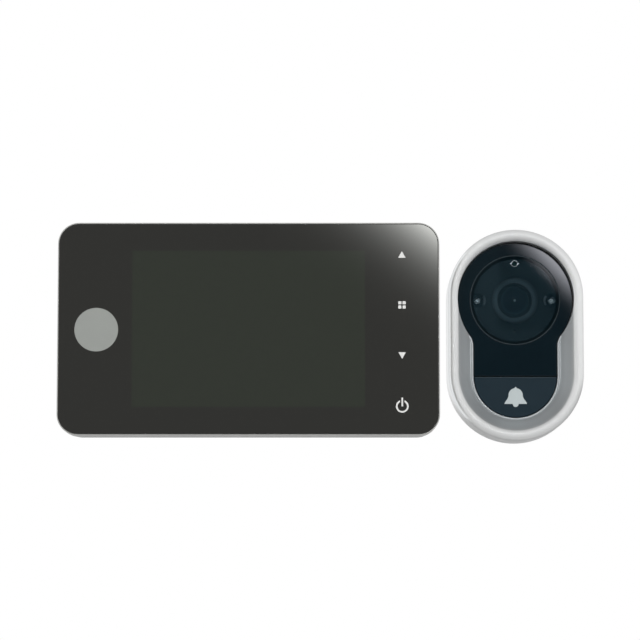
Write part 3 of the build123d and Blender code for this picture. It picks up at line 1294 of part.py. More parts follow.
def door_bracket():
    """Folded steel bracket with a bore for the barrel, two screw holes and four upturned hooks."""
    middle = Pos(0, (BRACKET_HIGH + BRACKET_LOW) / 2)
    outline = middle * RectangleRounded(BRACKET_WIDTH, BRACKET_HIGH - BRACKET_LOW, BRACKET_ROUND)
    plate = slab(at_monitor(outline), PAD_TOP, BRACKET_TOP)
    plate -= monitor_disc(0, BORE_RISE, BARREL_RADIUS + BRACKET_BORE_GAP, PAD_TOP, BRACKET_TOP)
    for x in (-BRACKET_HOLE_OFFSET, BRACKET_HOLE_OFFSET):
        plate -= monitor_disc(x, BORE_RISE, BRACKET_HOLE_RADIUS, PAD_TOP, BRACKET_TOP)
    for x, rise in hook_places():
        neck = rise - BRACKET_SHEET / 2
        window = rise - BRACKET_SHEET - HOOK_WINDOW / 2
        plate -= monitor_block(x, window, HOOK_WIDTH, HOOK_WINDOW, PAD_TOP, BRACKET_TOP)
        plate += monitor_block(x, neck, HOOK_WIDTH, BRACKET_SHEET, PAD_TOP, HOOK_NECK_TOP)
        head = rise - BRACKET_SHEET + (BRACKET_SHEET + HOOK_HEAD) / 2
        plate += monitor_block(
            x, head, HOOK_WIDTH, BRACKET_SHEET + HOOK_HEAD, HOOK_NECK_TOP, HOOK_NECK_TOP + BRACKET_SHEET
        )
    return plate


def bracket_pads():
    """Two foam strips between the bracket and the door."""
    middle = (BRACKET_HIGH + BRACKET_LOW) / 2
    return group([
        monitor_block(x, middle, PAD_WIDTH, PAD_HEIGHT, 0, PAD_TOP) for x in (-PAD_OFFSET, PAD_OFFSET)
    ])


def barrel_washer():
    """Flat washer on the bracket, under the nut."""
    high = BRACKET_TOP + WASHER_THICKNESS
    ring = Circle(WASHER_RADIUS) - Circle(BARREL_RADIUS + RUNNING_FIT)
    return slab(at_monitor(Pos(0, BORE_RISE) * ring), BRACKET_TOP, high)


def barrel_nut():
    """Hexagon nut at the bracket's bore, where it holds the barrel's end."""
    low = BRACKET_TOP + WASHER_THICKNESS
    high = low + NUT_THICKNESS
    flat = NUT_ACROSS_FLATS / 2
    corner = flat / math.cos(math.pi / 6)
    cone = [
        (0, low), (flat, low), (corner, low + NUT_CHAMFER), (corner, high - NUT_CHAMFER),
        (flat, high), (0, high),
    ]
    outline = at_monitor(Pos(0, BORE_RISE) * RegularPolygon(corner, 6))
    nut = slab(outline, low, high) & turned(cone, MONITOR_X, MONITOR_Z + BORE_RISE)
    return nut - monitor_disc(0, BORE_RISE, BARREL_RADIUS + RUNNING_FIT, low, high)


PIECES = (
    camera_housing, front_panel, lens_window, window_tape, doorbell_button, bell_icon, switch_body,
    switch_plunger, lens_shroud, lens_ring, lens_barrel, lens_elements, image_sensor, camera_board,
    infrared_leds, light_sensor, sensor_bezel, microphone, ribbon_connector, board_screws, back_plate,
    rear_gasket, camera_screws, viewer_barrel,
    front_glass, glass_mask, badge_disc, key_icons, glass_tape, monitor_frame, lcd_panel, lcd_backlight,
    lcd_frame, touch_board, main_board, board_chips, ribbon_socket, memory_card, card_socket, usb_socket,
    speaker, rear_housing, battery_cover, battery_cells, battery_springs, battery_plates, housing_screws,
    door_bracket, bracket_pads, barrel_washer, barrel_nut,
)


def main():
    """Write one file for each piece, named after its function."""
    os.makedirs("parts", exist_ok=True)
    for piece in PIECES:
        export_step(piece(), f"parts/{piece.__name__}.step")


main()
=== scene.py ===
import math

import bmesh
import bpy
from mathutils import Matrix, Vector


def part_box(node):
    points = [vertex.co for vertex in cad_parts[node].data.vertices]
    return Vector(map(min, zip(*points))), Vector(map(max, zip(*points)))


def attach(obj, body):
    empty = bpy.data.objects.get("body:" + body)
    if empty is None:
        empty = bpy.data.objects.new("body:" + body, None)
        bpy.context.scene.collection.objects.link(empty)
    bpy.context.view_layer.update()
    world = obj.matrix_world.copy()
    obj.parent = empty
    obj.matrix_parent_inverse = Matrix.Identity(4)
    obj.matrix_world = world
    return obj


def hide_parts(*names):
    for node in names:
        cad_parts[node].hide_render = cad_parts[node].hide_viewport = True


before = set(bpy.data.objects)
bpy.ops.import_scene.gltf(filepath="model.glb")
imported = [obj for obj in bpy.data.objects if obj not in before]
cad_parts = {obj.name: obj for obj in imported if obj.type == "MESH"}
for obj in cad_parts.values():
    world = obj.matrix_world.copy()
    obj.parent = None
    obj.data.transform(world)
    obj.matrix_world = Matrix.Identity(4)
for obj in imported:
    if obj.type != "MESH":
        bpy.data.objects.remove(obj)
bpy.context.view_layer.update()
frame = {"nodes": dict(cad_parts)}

# Peephole door camera: a doorbell camera and its indoor monitor, side by side.
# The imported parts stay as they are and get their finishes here. Small wound, threaded and moulded
# pieces are modelled in full and stand for the plain solids that hold their places.
# Metres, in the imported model's frame: +X right, +Z up, +Y into the door.

bl_info = {
    "name": "Peephole door camera",
    "version": (1, 0, 0),
    "blender": (4, 5, 0),
    "location": "3D View > Sidebar > Door Camera",
    "description": "Finishes and fine pieces for a doorbell camera and its indoor monitor",
    "category": "Object",
}

NODES = frame["nodes"]
MM = 0.001
TURN = 2 * math.pi
QUARTER = math.pi / 2
WHITE = (1.0, 1.0, 1.0, 1.0)
BLACK = (0.0, 0.0, 0.0, 1.0)
CAMERA_BODY = "camera_and_bracket"
MONITOR_BODY = "monitor"
CARD_BODY = "memory_card"


def linear(hex_text):
    """The linear colour of an sRGB hex value."""
    parts = [int(hex_text[start:start + 2], 16) / 255 for start in (1, 3, 5)]
    return [part / 12.92 if part <= 0.04045 else ((part + 0.055) / 1.055) ** 2.4 for part in parts]


def colour_property(name, description, hex_text):
    """A colour that the user may change."""
    return bpy.props.FloatVectorProperty(
        name=name, description=description, subtype="COLOR", min=0.0, max=1.0, default=linear(hex_text)
    )


def length_property(name, description, millimetres):
    """A length that the user may change, kept in metres."""
    return bpy.props.FloatProperty(
        name=name, description=description, subtype="DISTANCE", unit="LENGTH", min=0.0,
        default=millimetres * MM, precision=5,
    )


class CameraUnitLooks(bpy.types.PropertyGroup):
    """Colours of the doorbell camera."""

    shell: colour_property("Shell", "Silver lacquer on the rim of the die-cast shell", "#dedfdf")
    # The slope colour is painted shade: the rim's silver drawn darker down the slope to the black front.
    slope: colour_property("Slope", "The same lacquer, thinner, down the slope to the black front", "#b9bdbf")
    front: colour_property("Black front", "Polished plate round the window", "#060e13")
    window: colour_property("Window", "Smoke tint of the round window", "#e3e8ea")
    shroud: colour_property("Shroud", "Matt plate behind the window", "#0f2026")
    ring: colour_property("Lens ring", "Satin ring round the lens", "#34464e")
    lens: colour_property("Lens", "Depth of the coated lens", "#18232a")
    button: colour_property("Button", "Doorbell button", "#111f27")
    bell: colour_property("Bell", "Bell on the button", "#b6bfc0")


class MonitorLooks(bpy.types.PropertyGroup):
    """Colours of the indoor monitor."""

    glass: colour_property("Glass", "Front glass where black film lies behind it", "#151511")
    picture: colour_property("Picture window", "Front glass over the picture panel", "#1a2016")
    screen: colour_property("Screen", "Picture panel itself when it is off", "#384234")
    frame: colour_property("Frame", "Silver lacquer of the frame", "#b4b4b1")
    badge: colour_property("Badge", "Plain round badge", "#949793")
    marks: colour_property("Key marks", "Printed marks over the touch keys", "#dcdcda")
    housing: colour_property("Housing", "Moulded rear housing", "#2c2d2e")
    sleeve: colour_property("Cell sleeve", "Shrink sleeve of the battery cells", "#1d3a5c")


class HardwareSizes(bpy.types.PropertyGroup):
    """Sizes of the wound and threaded pieces."""

    thread_pitch: length_property("Barrel thread pitch", "Rise of the barrel's thread in one turn", 1.0)
    thread_depth: length_property("Barrel thread depth", "Height of the barrel's thread", 0.55)
    screw_pitch: length_property("Screw pitch", "Rise of the small screws' thread in one turn", 0.8)
    spring_wire: length_property("Spring wire", "Wire of the battery springs", 0.6)
    spring_turns: bpy.props.IntProperty(
        name="Spring turns", description="Turns of each battery spring", min=2, max=12, default=5
    )


class StudioLight(bpy.types.PropertyGroup):
    """Strength of the studio's lamps and cards."""

    fill: bpy.props.FloatProperty(
        name="Fill", description="Soft light from all round", min=0.0, default=0.52
    )
    key: bpy.props.FloatProperty(
        name="Key", description="Power of the large lamp in front", subtype="POWER", unit="POWER",
        min=0.0, default=6.2,
    )
    gleam: bpy.props.FloatProperty(
        name="Gleam", description="Strength of the two bright cards in the corners of glass and lens plate",
        min=0.0, default=1.0,
    )


GROUPS = {
    "camera_unit_looks": CameraUnitLooks,
    "monitor_looks": MonitorLooks,
    "hardware_sizes": HardwareSizes,
    "studio_light": StudioLight,
}


def looks(name):
    """One of the scene's groups of values."""
    return getattr(bpy.context.scene, name)


# Materials

# Most of a noise pattern lies between these two values.
NOISE_LOW, NOISE_HIGH = 0.25, 0.75
# Where a Mix node that mixes colours has its two colours and its result.
MIX_FIRST, MIX_SECOND, MIX_RESULT = 6, 7, 2


def fill_sockets(tree, node, sockets):
    """Set a node's sockets, with a link where the value is another node's socket."""
    for name, value in sockets.items():
        if isinstance(value, bpy.types.NodeSocket):
            tree.links.new(value, node.inputs[name])
        else:
            node.inputs[name].default_value = value


def add(tree, kind, sockets=None, stops=(), **settings):
    """Add one node with its settings, its (place, colour) stops, its socket values and its links."""
    made = tree.nodes.new(kind)
    for name, value in settings.items():
        setattr(made, name, value)
    if stops:
        elements = made.color_ramp.elements
        while len(elements) < len(stops):
            elements.new(0.5)
        for element, (place, colour) in zip(elements, stops):
            element.position = place
            element.color = (*[min(1.0, max(0.0, part)) for part in colour], 1.0)
    fill_sockets(tree, made, sockets or {})
    return made


def started(name):
    """A new material with its node tree and its main shader."""
    material = bpy.data.materials.new(name)
    material.use_nodes = True
    return material, material.node_tree, material.node_tree.nodes["Principled BSDF"]


def toned(colour, share):
    """A colour made lighter or darker by a share."""
    return [part * (1 + share) for part in [*colour][:3]]


def clouds(colour, tone, cloud_mm):
    """One colour that turns a little darker and lighter in slow clouds."""
    def laid(tree, place):
        slow = add(tree, "ShaderNodeTexNoise", {"Vector": place, "Scale": 1 / (cloud_mm * MM), "Detail": 2.0})
        return add(tree, "ShaderNodeValToRGB", {"Fac": slow.outputs["Fac"]}, stops=[
            (NOISE_LOW, toned(colour, -tone)), (NOISE_HIGH, toned(colour, tone)),
        ]).outputs["Color"]

    return laid


def from_axis(tree, place, height=None):
    """How far a point lies from the lens axis, or from a point above or below it."""
    parts = add(tree, "ShaderNodeSeparateXYZ", {"Vector": place}).outputs
    flat = add(tree, "ShaderNodeCombineXYZ", {"X": parts["X"], "Z": height or parts["Z"]})
    return add(tree, "ShaderNodeVectorMath", {0: flat.outputs["Vector"]}, operation="LENGTH").outputs["Value"]


def rings(*pairs):
    """Colours laid in soft rings round the lens axis, from (radius in mm, colour) pairs."""
    outer = pairs[-1][0]

    def laid(tree, place):
        share = add(tree, "ShaderNodeMapRange", {"Value": from_axis(tree, place), "From Max": outer * MM})
        return add(tree, "ShaderNodeValToRGB", {"Fac": share.outputs["Result"]}, stops=[
            (radius / outer, colour) for radius, colour in pairs
        ]).outputs["Color"]

    return laid


def surface(name, colour, roughness, grain_mm, relief_mm, stretch=(1, 1, 1), tone=0.06, gloss=0.12,
            cloud_mm=9.0, detail=2.0, edge_mm=0.0, sockets=None, hues=None):
    """A finish: fine grain in its height, slow changes of tone and gloss over it, and eased edges."""
    material, tree, shader = started(name)
    place = add(tree, "ShaderNodeTexCoord").outputs["Object"]
    laid = add(tree, "ShaderNodeMapping", {"Vector": place, "Scale": stretch}).outputs["Vector"]
    fine = add(tree, "ShaderNodeTexNoise", {
        "Vector": laid, "Scale": 1 / (grain_mm * MM), "Detail": detail,
    }).outputs["Fac"]
    hues = hues or clouds(colour, tone, cloud_mm)
    sheen = add(tree, "ShaderNodeMapRange", {
        "Value": fine, "From Min": NOISE_LOW, "From Max": NOISE_HIGH,
        "To Min": roughness * (1 - gloss), "To Max": min(1.0, roughness * (1 + gloss)),
    })
    bump = add(tree, "ShaderNodeBump", {"Height": fine, "Distance": relief_mm * MM})
    if edge_mm:
        eased = add(tree, "ShaderNodeBevel", {"Radius": edge_mm * MM}, samples=6)
        tree.links.new(eased.outputs["Normal"], bump.inputs["Normal"])
    fill_sockets(tree, shader, {
        "Base Color": hues(tree, place), "Roughness": sheen.outputs["Result"],
        "Normal": bump.outputs["Normal"], **(sockets or {}),
    })
    return material


def lacquered_zinc():
    # Die-cast zinc, sprayed silver from outside and clear coated: bright soft rim. The colour is painted
    # darker down the slope to the black front, and darker again on the outermost rounding of the rim: painted
    # shade.
    values = looks("camera_unit_looks")
    low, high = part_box("camera_housing")
    radius, painted_shade_band, wander = high.x, 9.3 * MM, 0.1 * MM

    def lacquer_with_painted_shade(tree, place):
        height = add(tree, "ShaderNodeSeparateXYZ", {"Vector": place}).outputs["Z"]
        near = add(tree, "ShaderNodeClamp", {"Value": height, "Min": low.z + radius, "Max": high.z - radius})
        rise = add(tree, "ShaderNodeMath", {0: height, 1: near.outputs["Result"]}, operation="SUBTRACT")
        out = from_axis(tree, place, rise.outputs[0])
        cloud = add(tree, "ShaderNodeTexNoise", {"Vector": place, "Scale": 1 / (5.0 * MM), "Detail": 2.0})
        blur = add(tree, "ShaderNodeMapRange", {
            "Value": cloud.outputs["Fac"], "To Min": -wander, "To Max": wander,
        })
        reach = add(tree, "ShaderNodeMath", {0: out, 1: blur.outputs["Result"]}, operation="ADD")
        share = add(tree, "ShaderNodeMapRange", {
            "Value": reach.outputs[0], "From Min": radius - painted_shade_band, "From Max": radius,
        })
        # Painted shade: the first stops darken the slope towards the black front, the last stop darkens the
        # outermost rounding.
        return add(tree, "ShaderNodeValToRGB", {"Fac": share.outputs["Result"]}, stops=[
            (0.0, toned(values.slope, -0.1)), (0.3, toned(values.slope, 0.08)), (0.5, values.slope),
            (0.64, toned(values.shell, -0.16)), (0.78, values.shell), (0.92, values.shell),
            (1.0, toned(values.shell, -0.24)),
        ]).outputs["Color"]

    return surface("zinc_casting_silver_lacquer", values.shell, roughness=0.34, grain_mm=0.25,
                   relief_mm=0.004, hues=lacquer_with_painted_shade,
                   sockets={"Metallic": 0.85, "Coat Weight": 0.2, "Coat Roughness": 0.3})


def lacquered_frame():
    # ABS sprayed with the same lacquer, without the clear coat: a slightly duller line round the glass.
    return surface("abs_silver_lacquer", looks("monitor_looks").frame, roughness=0.30, grain_mm=0.25,
                   relief_mm=0.003, tone=0.03, edge_mm=0.15, sockets={"Metallic": 0.8})


def polished_black():
    # Acrylic from a polished mould: almost no grain, clean dark reflections.
    return surface("acrylic_polished_black", looks("camera_unit_looks").front, roughness=0.04, grain_mm=9.0,
                   relief_mm=0.0004, tone=0.12, detail=0.0, edge_mm=0.12, sockets={"IOR": 1.49})


def clear_sheet(name, colour, ior, roughness, tone, cloud_mm=14.0):
    """A polished clear sheet: light passes with a tint that changes a little over it."""
    return surface(name, colour, roughness, grain_mm=25.0, relief_mm=0.0003, tone=tone, cloud_mm=cloud_mm,
                   detail=0.0, sockets={"Transmission Weight": 1.0, "IOR": ior})


def smoked_acrylic():
    # Smoked acrylic, polished both sides: what lies behind it shows, a little darker and bluer.
    return clear_sheet("acrylic_smoked_polished", looks("camera_unit_looks").window, ior=1.49,
                       roughness=0.015, tone=0.02)


def tinted_glass():
    # Float glass, polished in front and backed all over: black where the film lies behind it, and a
    # shade greener where the picture panel does. The eye mostly gets its clean reflection.
    values = looks("monitor_looks")
    low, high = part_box("lcd_panel")
    middle, half, rim = (low + high) / 2, (high - low) / 2, 2.5 * MM

    def backed(tree, place):
        parts = add(tree, "ShaderNodeSeparateXYZ", {"Vector": place}).outputs
        across, upright = [
            add(tree, "ShaderNodeMath", {0: parts[side], 1: centre, 2: reach}, operation="COMPARE")
            for side, centre, reach in (("X", middle.x, half.x - rim), ("Z", middle.z, half.z - rim))
        ]
        inside = add(tree, "ShaderNodeMath", {
            0: across.outputs[0], 1: upright.outputs[0],
        }, operation="MULTIPLY")
        return add(tree, "ShaderNodeMix", {
            "Factor": inside.outputs[0], MIX_FIRST: (*values.glass, 1.0), MIX_SECOND: (*values.picture, 1.0),
        }, data_type="RGBA").outputs[MIX_RESULT]

    return surface("float_glass_polished_backed", values.glass, roughness=0.012, grain_mm=25.0,
                   relief_mm=0.0003, detail=0.0, hues=backed, sockets={"IOR": 1.52})


def coated_lens():
    # Optical glass with a blue-green coating, paler to the rim, with one small bright point in the deep
    # middle: a painted highlight.
    values = looks("camera_unit_looks")
    # The bright point and the dark ring round it are a painted highlight.
    point, rim = linear("#6a797f"), toned(values.ring, -0.25)
    depth = rings((0.0, point), (0.35, point), (0.6, toned(values.lens, -0.4)), (1.1, values.lens),
                  (3.9, values.lens), (5.4, rim), (6.4, rim))
    return surface("optical_glass_coated", values.lens, roughness=0.12, grain_mm=6.0, relief_mm=0.0002,
                   detail=0.0, hues=depth,
                   sockets={"IOR": 1.6, "Specular IOR Level": 0.05, "Specular Tint": (0.6, 0.85, 1.0, 1.0)})


def clear_epoxy():
    # Cast epoxy of the diodes: clear, with faint flow in it.
    return clear_sheet("epoxy_cast_clear", linear("#e6ebec"), ior=1.55, roughness=0.03, tone=0.03,
                       cloud_mm=1.2)


def satin_black_abs():
    # ABS moulded with a fine matt grain, about 0.1 mm, drawn at 0.2 mm to show.
    return surface("abs_fine_grain_black", looks("camera_unit_looks").button, roughness=0.30, grain_mm=0.2,
                   relief_mm=0.005, tone=0.05, edge_mm=0.15,
                   sockets={"Specular IOR Level": 0.24, "Specular Tint": (0.74, 0.9, 1.0, 1.0)})


def painted_edge_highlight():
    # The button's top edge, duller than its face and painted paler: a painted highlight.
    return surface("abs_painted_edge_highlight", linear("#2c3a41"), roughness=0.4, grain_mm=0.2, relief_mm=0.003)


def pale_ink():
    # Screen-printed ink: flat, slightly porous.
    return surface("screen_print_pale", looks("monitor_looks").marks, roughness=0.55, grain_mm=0.12,
                   relief_mm=0.003, tone=0.02)


def bell_ink():
    # The same ink over the satin button, thinner and greyer.
    return surface("pad_print_grey", looks("camera_unit_looks").bell, roughness=0.5, grain_mm=0.12,
                   relief_mm=0.003, tone=0.03)


def grey_badge():
    # Anodised aluminium foil disc, fine matt.
    return surface("aluminium_foil_anodised", looks("monitor_looks").badge, roughness=0.5, grain_mm=0.15,
                   relief_mm=0.003, tone=0.02, edge_mm=0.1, sockets={"Metallic": 0.3})


def black_film():
    # Polyester film printed black on its back: an even dark sheet with almost no shine.
    return surface("polyester_film_printed_black", linear("#0c0c0c"), roughness=0.5, grain_mm=0.3,
                   relief_mm=0.001, tone=0.1, sockets={"Specular IOR Level": 0.2})


def acrylic_tape():
    # Acrylic adhesive tape: dull, with tiny bubbles.
    return surface("acrylic_adhesive_tape", linear("#1c1c1c"), roughness=0.85, grain_mm=0.12, relief_mm=0.01,
                   tone=0.1)


def cut_foam():
    # Closed-cell foam, die-cut: open pores on its cut face, no shine. The pores are about 0.4 mm,
    # drawn at 0.7 mm so that they show.
    def pores(tree, place):
        cells = add(tree, "ShaderNodeTexVoronoi", {"Vector": place, "Scale": 1 / (0.7 * MM)})
        return add(tree, "ShaderNodeValToRGB", {"Fac": cells.outputs["Distance"]}, stops=[
            (0.15, linear("#151515")), (0.5, linear("#333333")),
        ]).outputs["Color"]

    return surface("closed_cell_foam_cut", linear("#2b2b2b"), roughness=0.95, grain_mm=0.5, relief_mm=0.08,
                   gloss=0.04, hues=pores, sockets={"Specular IOR Level": 0.2})


def spark_abs():
    # ABS from a spark-eroded mould: an even matt grain of about 0.3 mm.
    return surface("abs_spark_texture_grey", looks("monitor_looks").housing, roughness=0.55, grain_mm=0.3,
                   relief_mm=0.03, tone=0.05, edge_mm=0.25)


def matt_black_abs():
    # Matt black ABS: an even dark plate that still takes soft light.
    return surface("abs_matt_black", looks("camera_unit_looks").shroud, roughness=0.6, grain_mm=0.25,
                   relief_mm=0.006, tone=0.05, edge_mm=0.12, sockets={"Specular IOR Level": 0.18})


def satin_ring():
    # ABS ring, satin painted: a soft blue-grey band round the lens that fades into the plate.
    values = looks("camera_unit_looks")
    band = rings((0.0, values.ring), (7.3, values.ring), (8.3, toned(values.shroud, 0.1)),
                 (8.5, values.shroud))
    return surface("abs_satin_paint", values.ring, roughness=0.45, grain_mm=0.3, relief_mm=0.003,
                   edge_mm=0.15, hues=band, sockets={"Specular IOR Level": 0.25})


def lead_frame():
    # Silver-plated copper cup of a diode, pressed: dull inside the clear epoxy.
    return surface("copper_silver_plated", linear("#949da1"), roughness=0.3, grain_mm=0.3, relief_mm=0.002,
                   tone=0.08, sockets={"Metallic": 1.0})


def painted_hood_highlight():
    # Grey on the small hood at the inner side of each diode, lighter than the plate: a painted highlight for
    # the light on the cup's rim. Dull and even.
    return surface("abs_grey_painted_highlight", linear("#46555c"), roughness=0.5, grain_mm=0.3, relief_mm=0.003)


def ground_acrylic():
    # Ground edge of the round window: a fine matt line that catches light.
    return surface("acrylic_ground_edge", linear("#2b383e"), roughness=0.6, grain_mm=0.2, relief_mm=0.004,
                   tone=0.1, cloud_mm=12.0)


def bright_chrome():
    # Chrome plating on ABS: bright, with a little waviness.
    return surface("abs_chrome_plated", linear("#c9cdce"), roughness=0.16, grain_mm=0.6, relief_mm=0.002,
                   tone=0.02, edge_mm=0.08, sockets={"Metallic": 1.0})


def solder_mask():
    # Glass-epoxy board: copper tracks show lighter under the green mask, and plated holes as dots.
    # Tracks are about 0.25 mm, drawn at 0.4 mm so that they show.
    def tracks(tree, place):
        lanes = add(tree, "ShaderNodeTexVoronoi", {
            "Vector": place, "Scale": 1 / (3.5 * MM), "Randomness": 0.9,
        }, distance="MANHATTAN")
        spread = add(tree, "ShaderNodeMath", {0: lanes.outputs["Distance"], 1: 3.6}, operation="MULTIPLY")
        waves = add(tree, "ShaderNodeMath", {0: spread.outputs[0]}, operation="FRACT")
        ramp = add(tree, "ShaderNodeValToRGB", {"Fac": waves.outputs[0]}, stops=[
            (0.0, linear("#0b4328")), (0.6, linear("#1b6a43")),
        ])
        ramp.color_ramp.interpolation = "CONSTANT"
        holes = add(tree, "ShaderNodeTexVoronoi", {"Vector": place, "Scale": 1 / (2.6 * MM)})
        dots = add(tree, "ShaderNodeMath", {0: holes.outputs["Distance"], 1: 0.11}, operation="LESS_THAN")
        return add(tree, "ShaderNodeMix", {
            "Factor": dots.outputs[0], MIX_FIRST: ramp.outputs["Color"],
            MIX_SECOND: (*linear("#b9b6a4"), 1.0),
        }, data_type="RGBA").outputs[MIX_RESULT]

    return surface("glass_epoxy_green_mask", linear("#0f5a34"), roughness=0.3, grain_mm=0.5, relief_mm=0.01,
                   hues=tracks)


def chip_epoxy():
    # Moulded epoxy with silica filler: dark, dry, fine grained.
    return surface("epoxy_moulded_chip", linear("#222222"), roughness=0.55, grain_mm=0.12, relief_mm=0.004,
                   tone=0.08)


def tinned_sheet():
    # Bright tinned steel sheet, rolled: fine lines along the roll.
    return surface("steel_sheet_tinned", linear("#b9babb"), roughness=0.28, grain_mm=0.3, relief_mm=0.002,
                   stretch=(0.05, 1, 1), tone=0.05, edge_mm=0.08, sockets={"Metallic": 1.0})


def zinc_plated():
    # Zinc plating on pressed steel, clear passivated: cloudy grey with a faint blue.
    return surface("steel_zinc_plated", linear("#a9adb1"), roughness=0.36, grain_mm=0.5, relief_mm=0.003,
                   tone=0.12, cloud_mm=3.0, edge_mm=0.15, sockets={"Metallic": 1.0})


def nickel_plated():
    # Turned brass under nickel: warm silver with faint tool marks round it.
    return surface("brass_nickel_plated", linear("#c4c0b2"), roughness=0.24, grain_mm=0.4, relief_mm=0.002,
                   stretch=(0.2, 1, 0.2), sockets={"Metallic": 1.0})


def natural_nylon():
    # Natural nylon, moulded: ivory, slightly waxy.
    return surface("nylon_moulded_natural", linear("#ded9c9"), roughness=0.42, grain_mm=0.3, relief_mm=0.004,
                   tone=0.03, edge_mm=0.15, sockets={"Subsurface Weight": 0.15, "Subsurface Scale": 1.5 * MM})


def screen_polariser():
    # Polariser film on the picture panel: dark green grey when off.
    return surface("polariser_film_matt", looks("monitor_looks").screen, roughness=0.5, grain_mm=0.1,
                   relief_mm=0.0006, tone=0.03, sockets={"Specular IOR Level": 0.1})


def light_guide():
    # White reflector and acrylic light guide, with its dot pattern of about 1 mm.
    def dots(tree, place):
        cells = add(tree, "ShaderNodeTexVoronoi", {
            "Vector": place, "Scale": 1 / (1.0 * MM), "Randomness": 0.0,
        })
        return add(tree, "ShaderNodeValToRGB", {"Fac": cells.outputs["Distance"]}, stops=[
            (0.2, linear("#f0f0ee")), (0.35, linear("#dfe0dd")),
        ]).outputs["Color"]

    return surface("acrylic_light_guide_white", linear("#e8e8e6"), roughness=0.4, grain_mm=0.4,
                   relief_mm=0.003, hues=dots)


def shrink_sleeve():
    # PVC shrink sleeve over the steel can: tight, glossy, faintly wrinkled.
    return surface("pvc_shrink_sleeve", looks("monitor_looks").sleeve, roughness=0.22, grain_mm=1.6,
                   relief_mm=0.012, stretch=(0.3, 1, 1), tone=0.04)


def speaker_cone():
    # Pressed paper pulp in a black basket: dull with short fibres.
    return surface("paper_pulp_pressed", linear("#1d1c1b"), roughness=0.9, grain_mm=0.25, relief_mm=0.02,
                   tone=0.15)


MATERIAL_MAKERS = {
    "satin_silver": lacquered_zinc,
    "frame_silver": lacquered_frame,
    "gloss_black": polished_black,
    "smoked_window": smoked_acrylic,
    "tinted_glass": tinted_glass,
    "satin_black": satin_black_abs,
    "pale_print": pale_ink,
    "badge_grey": grey_badge,
    "black_film": black_film,
    "adhesive_tape": acrylic_tape,
    "foam_grey": cut_foam,
    "housing_grey": spark_abs,
    "inner_black": matt_black_abs,
    "lens_glass": coated_lens,
    "led_resin": clear_epoxy,
    "bright_bezel": bright_chrome,
    "circuit_board": solder_mask,
    "chip_black": chip_epoxy,
    "tinned_steel": tinned_sheet,
    "zinc_steel": zinc_plated,
    "nickel_brass": nickel_plated,
    "socket_white": natural_nylon,
    "screen_grey": screen_polariser,
    "light_plate": light_guide,
    "cell_sleeve": shrink_sleeve,
    "speaker_black": speaker_cone,
}
MADE = {}


def material_for(finish):
    """The finish of one of the material slots the parts were packed with, made when it is first asked for."""
    if finish not in MADE:
        MADE[finish] = MATERIAL_MAKERS[finish]()
    return MADE[finish]


def dress(*names, finish=None):
    """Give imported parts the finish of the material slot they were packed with, or one of their own."""
    for name in names:
        part = NODES[name]
        own = part.data.materials[0].name.split(".")[0]
        part.data.materials.clear()
        part.data.materials.append(finish or material_for(own))


# Meshes

# Points of made meshes that lie closer than this are one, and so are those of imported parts.
WELD = 0.002 * MM
PACKED_WELD = 0.001 * MM


def placed(name, mesh):
    """A new object in the scene with a mesh, which is freed."""
    data = bpy.data.meshes.new(name)
    mesh.to_mesh(data)
    mesh.free()
    made = bpy.data.objects.new(name, data)
    bpy.context.scene.collection.objects.link(made)
    return made


def piece(name, body, own_slot, mesh, stands_for=(), finish=None):
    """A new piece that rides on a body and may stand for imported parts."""
    mesh.normal_update()
    made = placed(name, mesh)
    made.data.materials.append(finish or material_for(own_slot))
    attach(made, body)
    if stands_for:
        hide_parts(*stands_for)


def packed_mesh(name):
    """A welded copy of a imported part's mesh."""
    mesh = bmesh.new()
    mesh.from_mesh(NODES[name].data)
    bmesh.ops.remove_doubles(mesh, verts=mesh.verts, dist=PACKED_WELD)
    return mesh


def shade(mesh, sharp_deg):
    """Smooth shading that breaks at edges sharper than an angle."""
    mesh.normal_update()
    for face in mesh.faces:
        face.smooth = True
    for edge in mesh.edges:
        edge.smooth = edge.is_manifold and edge.calc_face_angle(math.pi) < math.radians(sharp_deg)


def join(mesh, part):
    """Add one mesh to another and free it."""
    data = bpy.data.meshes.new("joined")
    part.to_mesh(data)
    part.free()
    mesh.from_mesh(data)
    bpy.data.meshes.remove(data)


def skin(part, rows, capped=True):
    """Lay faces between rows of points, and close the first and the last row."""
    for here, there in zip(rows, rows[1:]):
        for k in range(len(here)):
            after = (k + 1) % len(here)
            part.faces.new((here[k], here[after], there[after], there[k]))
    if capped:
        part.faces.new(rows[0])
        part.faces.new(list(reversed(rows[-1])))


def spun(mesh, columns, profile_at, place=(0.0, 0.0, 0.0), sharp_deg=35.0, start=0.0, sweep=TURN,
         turned=None):
    """Add a form turned about an axis along Y, with a profile of (radius, y) for each angle, and set it
    at a place. A part turn gets end caps. A matrix may turn the form before it goes to its place."""
    part = bmesh.new()
    rows = []
    for index in range(columns + 1):
        angle = start + sweep * index / columns
        rows.append([
            part.verts.new((radius * math.cos(angle), y, radius * math.sin(angle)))
            for radius, y in profile_at(angle, index / columns)
        ])
    skin(part, rows, capped=sweep < TURN - 0.001)
    bmesh.ops.remove_doubles(part, verts=part.verts, dist=WELD)
    bmesh.ops.dissolve_degenerate(part, edges=part.edges, dist=WELD)
    bmesh.ops.recalc_face_normals(part, faces=part.faces)
    shade(part, sharp_deg)
    if turned:
        part.transform(turned)
    part.transform(Matrix.Translation(place))
    join(mesh, part)
    return mesh


def fixed(profile):
    """The same profile at every angle."""
    return lambda angle, share: profile


def steps_from(radius, y, *steps):
    """Profile points that lie (outwards, along Y) by some millimetres from one point."""
    return [(radius + out * MM, y + along * MM) for out, along in steps]


def rounded_rim(radius, y, ease):
    """Profile points of an outer rim that is eased at its front."""
    return [(radius - ease, y), (radius - ease * 0.3, y + ease * 0.3), (radius, y + ease)]


def axis_through(low, high):
    """Where the axis along Y through the middle of a box lies."""
    return (low.x + high.x) / 2, 0.0, (low.z + high.z) / 2


